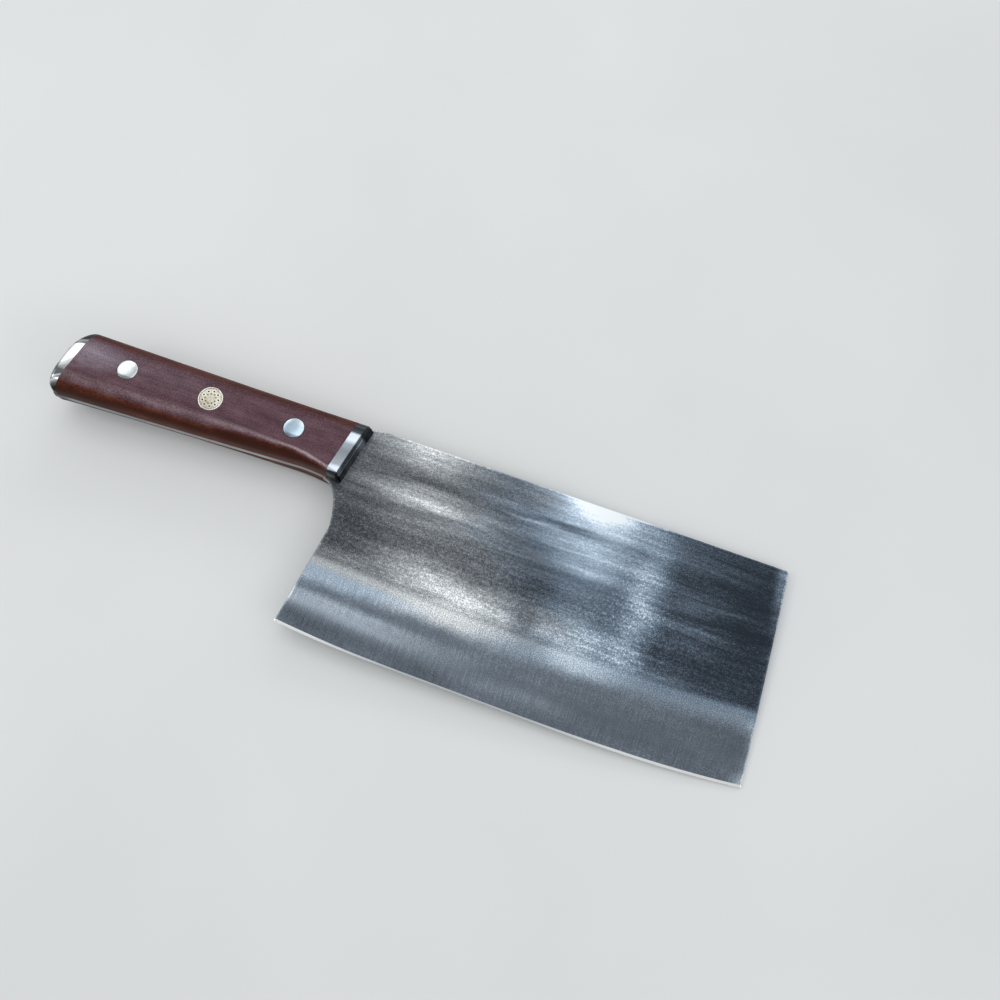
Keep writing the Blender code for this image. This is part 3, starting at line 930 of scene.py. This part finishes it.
class BladeLook(Look):
    """Dark forged steel with streaks along the blade, a satin bevel and a bright cutting edge, with painted
    reflections and highlights in its colour.
    """

    def __init__(self):
        super().__init__("forged_blade_painted_reflections", metallic=1.0, roughness=0.4)
        self.below, self.above, self.rim, self.front = (self.attribute(name) for name in blade_marks)
        self.is_bevel = self.below.soft(*bevel_start)
        self.on_tang = self.x.span(*tang_start)
        waved = self.waved((60, 25, 60))
        self.coarse = self.grain((55, 4.0, 40), waved, detail=2, roughness=0.5)
        self.fine = self.grain((24, 1.2, 40), waved, detail=2, roughness=0.5, shift=3.1)
        self.cloud = self.grain((22, 9, 40), waved, detail=2, roughness=0.5, shift=5.2)
        self.fleck = self.grain((1.4, 1.0, 1.4), detail=1, roughness=0.6, shift=6.4)
        self.speck = self.grain((0.42, 0.42, 0.42), detail=1, roughness=0.7, shift=1.3)
        self.scratch = self.grain((0.25, 8, 1), detail=2, roughness=0.6, shift=2.2)
        self.drifted = self.joined(
            self.noisy(self.x, (self.grain((26, 6, 30), detail=3, shift=7.7), 7.0)),
            self.noisy(self.y, (self.grain((30, 9, 30), detail=3, shift=8.8), 7.0)), 0.0)
        # Painted highlight along the spine, front, heel and neck
        self.rim_highlight = self.noisy(self.rim, (self.fine, 0.8)).soft(*rim_highlight_span)

    def face_tone(self):
        """Brightness of the forged face: streaks, painted pale and dark reflection patches, grit, and painted
        highlights along the rim and the front end.
        """
        # Painted darker reflection towards the front end
        tone = self.x.soft(*front_dark_reflection)
        fine_weight = self.x.span(*fine_streaks_rise)
        tone = self.noisy(tone, (self.coarse, 0.36), (self.fine, fine_weight), (self.cloud, 0.16))
        # Painted reflections and highlights, pale and dark
        tone = self.patched(tone, pale_reflection_patches + dark_reflection_patches, self.drifted)
        return self.with_glints_and_pits(self.gritty(tone)) + self.rim_highlight + self.front_highlight_strip()

    def gritty(self, tone):
        """Grit, calmer around the painted highlight at the spine and on the tang."""
        calm = abs(self.x - calm_middle).soft(*calm_span) * self.y.span(*calm_depth)
        calm = self.math('MAXIMUM', calm, self.x.span(*calm_tang))
        grit = self.noisy(0.0, (self.fleck, 0.50), (self.speck, 1.25)) * (1.0 - calm)
        return tone + grit * tone.span(*grit_by_tone)

    def with_glints_and_pits(self, tone):
        """Painted glints and fine pits in a band across the blade."""
        from_band = abs(self.x - glint_band_middle)
        painted_glint = self.speck.span(*glint_rise) * from_band.span(*glint_span)
        tone = tone + painted_glint * self.x.span(*glint_start)
        pits = self.grain((0.95, 0.95, 0.95), detail=0.5, shift=11.0)
        pits = pits.span(*pale_pits) - pits.span(*dark_pits)
        return tone + pits * (from_band.soft(*pitted_span) * self.y.span(*pitted_depth))

    def front_highlight_strip(self):
        """A painted highlight strip along the front end, wider and brighter towards the spine."""
        width = self.y.span(*front_highlight_width)
        strip = (self.noisy(self.front, (self.fleck, 1.0)) / width).soft(1.0, 0.25)
        return strip * self.y.soft(*front_highlight_level)

    def tang_tone(self):
        # Painted shade: the tang darkens towards the butt
        at_butt = self.x.soft(*butt_span)
        return self.mixed(at_butt, self.noisy(tang_level, (self.fine, 0.3)), butt_shade)

    def bevel_tone(self):
        """Brightness of the satin bevel: a paler band near the heel, clouds, cross scratches, and painted
        highlights along the rims and the front end.
        """
        band = self.below.soft(*heel_band_start) * self.below.soft(*heel_band_end)
        tone = self.x.span(*satin_rise) + band * self.x.soft(*heel_band_level)
        cloud = self.grain((60, 8, 40), detail=2, shift=9.4)
        tone = self.noisy(tone, (cloud, 0.30), (self.scratch, 0.34), (self.speck, 0.45))
        tone = tone + self.rim_highlight + self.front.soft(*bevel_front_highlight)
        return self.patched(tone, bevel_corners, self.flat_place)

    def bevel_highlight_share(self):
        """The painted highlight, a pale ragged line where the bevel starts."""
        ragged = self.noisy(self.below, (self.grain((9, 6, 6), detail=1.5, shift=4.4), 4.0))
        ragged = self.noisy(ragged, (self.scratch, self.x.span(*bevel_highlight_scratches)))
        ragged = ragged + self.x.soft(*bevel_highlight_narrowing)
        return self.below.soft(*bevel_highlight_start) * ragged.soft(*bevel_highlight_end)

    def bevel_highlight_tone(self):
        # Tone of the painted bevel highlight, with brighter and darker patches along it
        weight = self.x.span(*bevel_highlight_grit)
        tone = self.noisy(bevel_highlight_level, (self.speck, weight), (self.scratch, 0.3))
        return self.patched(tone, bevel_highlight_patches, self.drifted)

    def steel_colour(self, tone, bevel_highlight):
        """Painted reflection colour: neutral grey towards the handle, bluer towards the front and in parts of
        the painted bevel highlight.
        """
        side = self.noisy(self.x, (self.cloud, 40.0)) - self.y.span(*cool_reflection_drift)
        bevel_highlight_coolness = self.patch(bevel_highlight_warm_patch, self.drifted) + 0.8
        on_bevel = self.mixed(bevel_highlight, 0.5, bevel_highlight_coolness)
        cool_reflection_share = self.mixed(self.is_bevel, side.soft(*cool_reflection_side), on_bevel)
        return self.blend(cool_reflection_share, self.ramp(tone, steel_in_warm_reflection), self.ramp(tone, steel_in_cool_reflection))

    def edge_line(self):
        """Share and colour of the cutting edge, which is duller and taller at its middle: pale ground steel,
        with a painted highlight towards both ends.
        """
        from_middle = abs(self.x - edge_middle).span(*edge_highlight_rise)
        colour = self.blend(from_middle, dull_edge, pale_edge_and_highlight)
        return (self.above - from_middle.span(*edge_line)).span(*edge_fade), colour

    def relief(self):
        """Streaks, hammer flecks and grit on the face, and cross scratches on the bevel."""
        waves = self.coarse + self.fine * 0.35
        normal = self.bump(waves * (1.0 - self.is_bevel), 0.04)
        hammered = 1.0 - self.on_tang * 0.8
        normal = self.bump(self.fleck * hammered, 0.012, normal)
        normal = self.bump(self.speck * hammered, 0.012, normal)
        return self.bump(self.scratch * self.is_bevel, 0.003, normal)


def blade_look():
    look = BladeLook()
    tone = look.mixed(look.on_tang, look.face_tone(), look.tang_tone())
    tone = look.mixed(look.is_bevel, tone, look.bevel_tone())
    # Painted highlight where the bevel starts
    bevel_highlight = look.bevel_highlight_share()
    tone = look.mixed(bevel_highlight * 0.9, tone, look.bevel_highlight_tone())
    is_edge, edge_colour = look.edge_line()
    colour = look.blend(is_edge, look.steel_colour(tone, bevel_highlight), edge_colour)
    roughness = look.mixed(is_edge, tone.span(0.0, 1.0, 0.44, 0.32), 0.24)
    return look.finish(colour, roughness, look.relief())


# Each patch: place along and across the blade, half length, half width in mm, and strength
# Painted reflections and highlights on the forged face
pale_reflection_patches = (
    # Painted sheen behind the bolster and the painted reflection streak below it
    (28, -3, 36, 11, 0.39),
    (32, -21.8, 42, 6.8, 0.40),
    (54, -25.5, 28, 7, 0.15),
    (34, -35, 40, 9, 0.08),
    # Painted reflection above the bevel
    (36, -48, 28, 10, 0.24),
    (64, -55, 38, 12, 0.46),
    (30, -57, 34, 8, 0.18),
    # Painted highlight at the spine and the painted reflection streaks below it
    (102, -5, 40, 15, 0.55),
    (100, -1, 24, 6, 0.28),
    (96, -11.5, 26, 8, 0.09),
    (124, -1, 9, 4, 0.12),
    (102, -19, 38, 7.8, 0.48),
    (76, -15, 18, 1.4, 0.25),
    (104, -27.4, 30, 7, 0.40),
    (103, -25.8, 28, 1.7, 0.06),
    (108, -40, 24, 12, 0.12),
    (106, -55, 36, 14, 0.42),
    # Painted reflection band across the blade
    (127, -34, 12, 40, 0.43),
    # Faint painted reflection streaks in the dark front part
    (146, -9, 30, 7, 0.09),
    (146, -22, 30, 2.6, 0.14),
    (160, -25, 22, 1.8, 0.27),
    (142, -28, 16, 5, 0.14),
    (146, -36, 30, 3.4, 0.31),
    (152, -43, 22, 2.4, 0.10),
    (150, -55, 30, 5, 0.16),
    (138, -57, 24, 5, 0.22),
)
# Painted dark reflections on the forged face
dark_reflection_patches = (
    (6, -40, 22, 20, -0.22),
    (92, -13, 20, 2.0, -0.26),
    (84, -40, 14, 12, -0.16),
    (86, -55, 9, 10, -0.26),
    (24, -41, 24, 6, -0.14),
    (22, -55, 16, 4, -0.12),
    (28, -15.6, 30, 2.4, -0.14),
    (60, -46.5, 26, 3.0, -0.10),
    (95, -60, 9, 4, -0.18),
    (90, -38, 12, 8, -0.08),
    (168, -26, 18, 26, -0.13),
    (142, -16, 26, 3, -0.10),
)
bevel_corners = (
    (182.5, -87, 9, 9, 0.42),
    (179, -61.5, 3, 4, 0.40),
    (-4, -88, 12, 8, 0.12),
    (58, -87.5, 26, 6, -0.14),
    (98, -82, 26, 9, 0.08),
)
# Tone of the painted bevel highlight, a patch where it is warmer, and patches along it
bevel_highlight_level = 0.74
bevel_highlight_warm_patch = (58, -62, 36, 40, -0.8)
bevel_highlight_patches = (
    (56, -62, 40, 24, 0.15),
    (91, -64, 12, 12, -0.08),
    (112, -61, 26, 24, 0.19),
    (150, -62, 46, 24, -0.07),
)
# Steel colours by tone, under warm and under cool painted reflections
steel_in_warm_reflection = (
    (0.0, (0.031, 0.034, 0.039)), (0.25, (0.072, 0.077, 0.084)), (0.5, (0.160, 0.170, 0.180)),
    (0.75, (0.360, 0.378, 0.388)), (1.0, (0.880, 0.890, 0.880)),
)
steel_in_cool_reflection = (
    (0.0, (0.028, 0.036, 0.047)), (0.25, (0.062, 0.079, 0.101)), (0.5, (0.132, 0.170, 0.218)),
    (0.75, (0.305, 0.382, 0.465)), (0.92, (0.610, 0.720, 0.850)), (1.0, (0.890, 0.940, 0.960)),
)
# Cutting edge: pale ground steel, with a painted highlight towards both ends
dull_edge = (0.62, 0.64, 0.66)
pale_edge_and_highlight = (0.96, 0.96, 0.95)


# The ridge where the wood's face in painted light turns to its belly side in painted shade, with a painted
# highlight along it
ridge_drop = 22.0
ridge_to_butt = (-45.0, -120.0, 0.0, 2.7)
ridge_to_bolster = (-26.0, -8.0)
ridge_bolster_drop = 2.7
ridge_half_width = (-66.0, -26.0, 2.6, 1.05)
ridge_height = (4.0, 7.0)
ridge_highlight_strength = ((-70.0, 0.30), (-45.0, 0.40), (-32.0, 0.55), (-22.0, 0.85), (-16.0, 1.0), (-9.0, 0.85))
face_height_span = (6.4, 8.6)
face_belly_fade = (-0.9, 0.9)
face_spine_fade = (-8.2, -4.2)
# Painted shade on the shoulder below the ridge
shoulder_shade_height = (3.0, 6.4, 0.0, 0.8)
shoulder_shade_at_butt = (-82.0, -104.0, 0.0, 0.8)
pore_rise = (0.62, 0.74, 0.0, 0.45)

# Dark, middle and pale tones of the wood, and their places in its grain
wood_stops = (0.15, 0.5, 0.85)
# The belly side in painted shade, the face in painted light, painted sheen, the painted ridge highlight, one
# tone for pores and painted shade, and a painted shade tint for the spine shoulder
shaded_side_wood = ((0.040, 0.0066, 0.0030), (0.084, 0.0180, 0.0080), (0.146, 0.042, 0.020))
lit_face_wood = ((0.062, 0.028, 0.034), (0.106, 0.054, 0.067), (0.168, 0.093, 0.110))
painted_sheen_wood = ((0.170, 0.125, 0.155), (0.250, 0.200, 0.245), (0.350, 0.290, 0.335))
ridge_highlight_wood = ((0.190, 0.128, 0.134), (0.340, 0.250, 0.262), (0.480, 0.380, 0.390))
pore_and_shade_wood = (0.030, 0.0065, 0.0030)
spine_shade_tint = (0.66, 0.44, 0.30)

# Patches of painted sheen on the handle's face
rear_sheen_patch = (-119, -12.6, 27, 8.6, 1.0)
middle_sheen_patch = (-86, -12, 40, 8, 0.22)


class WoodLook(Look):
    """Oiled rosewood: fine grain along the handle, dark pores and a low sheen, with a painted lit face and a
    painted shaded belly side.
    """

    def __init__(self):
        super().__init__("rosewood_grain_painted_light", metallic=0.0, roughness=0.42)
        waved = self.waved((45, 20, 20))
        band = self.grain((50, 2.6, 2.6), waved, detail=3, roughness=0.6)
        self.fibre = self.grain((10, 0.5, 0.5), waved, detail=3, roughness=0.65, shift=4.0)
        self.pore = self.grain((2.0, 0.16, 0.16), waved, detail=1, shift=8.0)
        self.mottle = self.grain((9, 5, 5), detail=3, shift=2.0)
        speck = self.grain((0.5, 0.3, 0.3), detail=2, shift=6.0)
        self.tone = self.noisy(0.5, (band, 0.7), (self.fibre, 0.6), (self.mottle, 0.9), (speck, 2.4))
        self.height = abs(self.z)
        self.to_butt = self.x.span(*ridge_to_butt)
        to_bolster = self.x.span(*ridge_to_bolster)
        drop = to_bolster * to_bolster * ridge_bolster_drop + ridge_drop
        self.over_ridge = self.noisy(self.y + drop + self.to_butt, (self.mottle, 1.6))
        self.half_ridge = self.x.span(*ridge_half_width)
        self.above_side = self.over_ridge + self.half_ridge
        is_high = self.height.soft(*face_height_span)
        self.is_lit_face = is_high * self.above_side.soft(*face_belly_fade)

    def wood(self, tones):
        return self.ramp(self.tone, tuple(zip(wood_stops, tones)))

    def with_lit_face(self, colour):
        """The face with painted light, turned redder by painted shade towards the spine."""
        at_spine = self.noisy(self.y, (self.mottle, 2.4)).soft(*face_spine_fade)
        face = self.wood(lit_face_wood)
        return self.blend(self.is_lit_face, colour, self.blend(at_spine, face, self.tinted(face, spine_shade_tint)))

    def with_painted_sheen(self, colour):
        # Painted sheen on the face towards the rear and the middle
        drifted = self.joined(
            self.noisy(self.x, (self.mottle, 10.0)), self.noisy(self.y, (self.mottle, 4.0)), 0.0)
        sheen_share = self.patch(rear_sheen_patch, drifted) + self.patch(middle_sheen_patch, drifted)
        return self.blend(sheen_share * self.is_lit_face, colour, self.wood(painted_sheen_wood))

    def with_ridge_highlight(self, colour):
        """The painted highlight along the ridge, strongest near the bolster."""
        ridge = (abs(self.over_ridge) / self.half_ridge).soft(1.0, 0.0)
        ridge = ridge * self.x.stepped(ridge_highlight_strength) * self.height.span(*ridge_height)
        return self.blend(ridge, colour, self.wood(ridge_highlight_wood))

    def pores_and_shade(self):
        """Pores, and painted shade on the shoulder that falls away below the ridge."""
        fade = self.to_butt * 0.8 + 1.6
        shoulder = ((0.3 - self.above_side) / fade).soft(0.0, 1.0)
        side = self.math('MAXIMUM', self.height.span(*shoulder_shade_height), self.x.span(*shoulder_shade_at_butt))
        return self.math('MAXIMUM', self.pore.span(*pore_rise), shoulder * side)


def wood_look():
    look = WoodLook()
    # Painted shade on the belly side, painted light on the face, painted sheen and the painted ridge
    # highlight
    colour = look.with_ridge_highlight(look.with_painted_sheen(look.with_lit_face(look.wood(shaded_side_wood))))
    # Pores and painted shade
    dark = look.pores_and_shade()
    colour = look.blend(dark, colour, pore_and_shade_wood)
    look.shader.inputs["Specular IOR Level"].default_value = 0.07
    look.shader.inputs["Coat Weight"].default_value = 0.05
    look.shader.inputs["Coat Roughness"].default_value = 0.24
    roughness = look.fibre.span(0.3, 0.7, 0.38, 0.48)
    return look.finish(colour, roughness, look.bump(look.fibre - dark * 0.8, 0.006))


def polished_look(name, colour, roughness, brush, brush_depth, painted_light=None, cool_from=None):
    """Bare metal with fine brush marks and a little uneven polish.

    The painted light function, if any, gives the share of the colour at a place: painted reflections and
    painted shade. Past cool_from the metal gets a painted bluish reflection tint.
    """
    look = Look(name, metallic=1.0, roughness=roughness)
    marks = look.grain(brush, detail=2, roughness=0.6)
    stain = look.grain((6, 6, 6), detail=3, shift=3.0)
    low = tuple(0.86 * c for c in colour)
    tint = look.blend(stain.span(0.3, 0.7), low, colour)
    tint = look.blend(marks.span(0.35, 0.65, 0.0, 0.25), tint, low)
    if painted_light:
        # Painted reflections and painted shade
        shade = painted_light(look)
        tint = look.tinted(tint, look.joined(shade, shade, shade))
    if cool_from is not None:
        # Painted bluish reflection tint
        cool_reflection_share = look.x.span(cool_from, cool_from + 10.0)
        low_part = look.noisy(look.y, (stain, 4.0)).span(*cool_reflection_low_part)
        tint = look.blend(cool_reflection_share * low_part, tint, look.tinted(tint, cool_reflection_tint))
    shine = marks.span(0.3, 0.7, roughness * 0.85, roughness * 1.2)
    return look.finish(tint, shine, look.bump(marks, brush_depth))


# Painted reflection zones across the bolster band, the end cap and the rivets, painted shade at their feet,
# lower halves and ends, and a painted bluish reflection tint
bolster_reflection_tones = (
    (-28.0, 0.03), (-26.0, 0.05), (-25.4, 0.90), (-23.9, 0.80), (-22.4, 0.40), (-16.5, 0.26), (-13.5, 0.36),
    (-10.8, 0.88), (-8.6, 0.84), (-7.2, 0.08), (0.0, 0.06),
)
cap_reflection_tones = (
    (-30.2, 0.06), (-28.6, 0.12), (-27.9, 0.42), (-26.5, 0.50), (-26.1, 0.92), (-25.5, 0.92), (-25.1, 0.34),
    (-24.7, 0.36), (-24.4, 0.82), (-24.0, 0.82), (-23.6, 0.22), (-20.0, 0.24), (-16.6, 0.50), (-15.0, 0.94),
    (-10.2, 0.94), (-9.6, 0.34), (-9.0, 0.30), (-8.5, 0.60), (-8.0, 0.55), (-7.3, 0.10), (0.0, 0.06),
)
cap_leans = ((-24.0, 0.5), (-20.0, 1.0), (-14.5, 1.0), (-11.5, 0.35))
rivet_reflection_tones = ((-18.6, 0.30), (-17.6, 0.36), (-16.4, 0.92), (-13.0, 0.86), (-10.6, 1.0))
belly_span = (-19.0, -23.0)
# Painted shade at the foot of the belly side
foot_painted_shade = (7.4, 4.4, 0.0, 0.80)
lower_half_fade = (0.5, -0.5)
lower_half_shade = 0.42
# Painted shade on the tang and the cap's end at the butt
butt_shade = 0.34
cap_end_span = (-123.0, -127.0)
cap_end_fade = (7.0, 4.0)
# Painted shade at the belly corner of the cap's end
cap_corner_painted_shade = (-26.3, -27.8, 0.0, 0.7)
# Painted bluish reflection tint, strongest towards the belly side
cool_reflection_low_part = (-10.4, -13.0, 0.25, 1.0)
cool_reflection_tint = (0.66, 0.77, 0.90)


def reflection_zones_and_shade(look, tones, across):
    """Painted reflection zones across the knife, with painted shade at the foot of the belly side."""
    at_belly = look.y.soft(*belly_span)
    return across.stepped(tones) * (1.0 - look.z.soft(*foot_painted_shade) * at_belly)


def even_shade_below(look, shade):
    """One even tone on the lower half, whose surroundings the photograph doesn't show."""
    # Painted shade: the lower half takes one even, darker share of the colour
    return look.mixed(look.z.span(*lower_half_fade), shade, lower_half_shade)


# Painted reflections and painted shade on the bolster
def bolster_painted_light(look):
    return even_shade_below(look, reflection_zones_and_shade(look, bolster_reflection_tones, look.y))


# Painted reflections and painted shade on the rivet heads
def rivet_painted_light(look):
    return even_shade_below(look, reflection_zones_and_shade(look, rivet_reflection_tones, look.y))


def cap_painted_light(look):
    """The cap's painted reflection zones lean away from its joint and fade to painted shade down its end,
    darkest at its belly corner.
    """
    ahead = look.x - cap_joint * 1000
    across = look.y - ahead * look.y.stepped(cap_leans)
    shade = reflection_zones_and_shade(look, cap_reflection_tones, across)
    on_end = look.x.soft(*cap_end_span)
    low_end = on_end * look.z.soft(*cap_end_fade)
    shade = look.mixed(low_end, shade, look.math('MINIMUM', shade, butt_shade))
    corner = on_end * across.soft(*cap_corner_painted_shade)
    return even_shade_below(look, shade) * (1.0 - corner)


pale_filling = ((0.46, 0.42, 0.33), (0.80, 0.74, 0.61))
rod_halo = (0.88, 0.84, 0.72)
wire_halo = (0.30, 0.27, 0.215)
dash_colour = (0.16, 0.15, 0.11)
low_side_shade_tint = (0.58, 0.51, 0.47)
rod_halo_radius = 0.95
wire_halo_radius = 0.62
dash_circle = 4.42


def mosaic_look():
    """Pale filling with a paler ring around each rod, a dark broken ring near the rim, and painted shade on
    its lower side.
    """
    look = Look("mosaic_filling_metal_painted_shade", metallic=1.0, roughness=0.32)
    x, y, _ = look.parts(look.vector('SUBTRACT', look.place, (mosaic_x * 1000, pin_line * 1000, 0)))
    radius = look.length(look.joined(x, y, 0.0))
    angle = look.math('ARCTAN2', y, x)
    step = math.tau / mosaic_count

    def halo(circle, turn, size):
        """Share of a round spot about each place on a circle."""
        share = look.math('FLOORED_MODULO', angle - (turn - step / 2), step)
        away = (share - step / 2) * radius
        out = radius - circle * 1000
        distance = look.length(look.joined(away, out, 0.0))
        return distance.soft(size, size * 0.75)

    grain = look.grain((0.7, 0.7, 0.7), detail=3)
    blotch = look.grain((1.1, 1.1, 1.1), detail=2, shift=3.0)
    rods = halo(mosaic_rod_circle, mosaic_turn, rod_halo_radius)
    wires = halo(mosaic_wire_circle, mosaic_turn + step / 2, wire_halo_radius)
    dash = look.math('ADD', look.math('SINE', angle * (mosaic_count * 3)) * 0.5, 0.5, clamp=True)
    ring = abs(radius - dash_circle).span(0.20, 0.05) * dash
    colour = look.blend(grain.span(0.3, 0.7), *pale_filling)
    colour = look.blend(rods, colour, rod_halo)
    colour = look.blend(wires * blotch.span(0.42, 0.62, 0.0, 0.62), colour, wire_halo)
    colour = look.blend(ring * 0.7, colour, dash_colour)
    # Painted shade towards the lower side
    low_side_shade = look.noisy(y + x * 0.3, (blotch, 2.0)).soft(0.5, -3.5, 0.0, 0.55)
    colour = look.blend(low_side_shade, colour, look.tinted(colour, low_side_shade_tint))
    return look.finish(colour, grain.span(0.3, 0.7, 0.28, 0.42), look.bump(grain, 0.006))


def floor_look():
    look = Look("pale_floor", metallic=0.0, roughness=0.85)
    tint = look.grain((160, 160, 160), detail=3)
    fine = look.grain((0.8, 0.8, 0.8), detail=2)
    colour = look.blend(tint.span(0.3, 0.7), (0.76, 0.76, 0.75), (0.80, 0.80, 0.79))
    return look.finish(colour, 0.85, look.bump(fine, 0.02))


# Studio

floor_half = 2.5
daylight = (0.97, 0.99, 1.0)
sky_colour = (0.93, 0.965, 1.0, 1)
sky_strength = 0.68
camera_lens = 42.47
camera_place = (0.11042, -0.11971, 0.44506)
camera_angles = (21.2469, 2.3456, 20.4537)


def make_floor():
    bm = bmesh.new()
    corners = ((-1, -1), (1, -1), (1, 1), (-1, 1))
    bm.faces.new([bm.verts.new((x * floor_half, y * floor_half, 0)) for x, y in corners])
    floor = as_object("floor", bm)
    floor.data.materials.append(floor_look())


def soft_light(name, place, aim, width, depth, radiance, colour, turn=0.0):
    """A rectangular light at a place in the knife's frame, turned towards another place there."""
    data = bpy.data.lights.new(name, 'AREA')
    data.shape = 'RECTANGLE'
    data.size = width
    data.size_y = depth
    data.energy = radiance * math.pi * width * depth
    data.color = colour
    light = bpy.data.objects.new(name, data)
    scene.collection.objects.link(light)
    start = knife_place @ Vector(place)
    direction = knife_place @ Vector(aim) - start
    light.location = start
    spin = Matrix.Rotation(math.radians(turn), 3, 'Z')
    light.rotation_euler = (direction.to_track_quat('-Z', 'Y').to_matrix() @ spin).to_euler()


def make_lights():
    soft_light("rear_panel", (-0.46, 0.24, 0.60), (-0.46, 0.24, 0.0), 0.26, 0.20, 1.35, daylight, turn=-16)
    soft_light("front_panel", (-0.08, 0.15, 0.62), (-0.08, 0.15, 0.0), 0.52, 0.26, 1.0, daylight)
    soft_light("key", (-0.75, -0.25, 0.65), (0.0, -0.04, 0.0), 0.5, 0.3, 2.9, (1.0, 0.99, 0.97))
    soft_light("fill", (0.75, -0.35, 0.55), (0.0, -0.04, 0.0), 0.5, 0.3, 2.1, daylight)
    soft_light("back_rim", (0.10, 0.95, 0.45), (0.05, -0.02, 0.0), 0.9, 0.25, 2.0, (1.0, 1.0, 1.0))
    world = bpy.data.worlds.new("studio")
    scene.world = world
    world.use_nodes = True
    background = world.node_tree.nodes["Background"]
    background.inputs["Color"].default_value = sky_colour
    background.inputs["Strength"].default_value = sky_strength


def make_camera():
    data = bpy.data.cameras.new("camera")
    data.sensor_width = 36
    data.lens = camera_lens
    data.clip_start = 0.01
    camera = bpy.data.objects.new("camera", data)
    scene.collection.objects.link(camera)
    camera.location = camera_place
    camera.rotation_euler = Euler([math.radians(a) for a in camera_angles])
    scene.camera = camera
    scene.view_settings.view_transform = 'Standard'


def dress_hidden_pins(look):
    for name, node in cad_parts.items():
        if name.startswith(("bolster_pin", "cap_pin")):
            for material_slot in node.material_slots:
                material_slot.material = look


make_blade()
make_scales(wood_look())
# Bolster, cap and rivets with painted reflections and painted shade
make_metal_ends(
    polished_look("bolster_satin_painted_reflections", (0.80, 0.87, 0.96), 0.24, (0.12, 9, 9), 0.002, bolster_painted_light),
    polished_look("end_cap_polish_painted_reflections", (0.86, 0.88, 0.88), 0.15, (5, 0.4, 5), 0.0008, cap_painted_light),
)
make_rivets(polished_look(
    "rivet_polish_painted_reflections", (0.84, 0.90, 0.90), 0.18, (3, 0.3, 3), 0.0006, rivet_painted_light, cool_from=-60.0))
make_mosaic(
    polished_look("mosaic_rim_brass", (0.88, 0.86, 0.76), 0.20, (1, 1, 1), 0.0006),
    mosaic_look(),
    polished_look("mosaic_rod_dark", (0.10, 0.11, 0.09), 0.45, (0.5, 0.5, 0.5), 0.001),
)
dress_hidden_pins(polished_look("hidden_pin_steel", (0.55, 0.56, 0.58), 0.38, (2, 0.3, 0.3), 0.001))
make_floor()
make_lights()
make_camera()
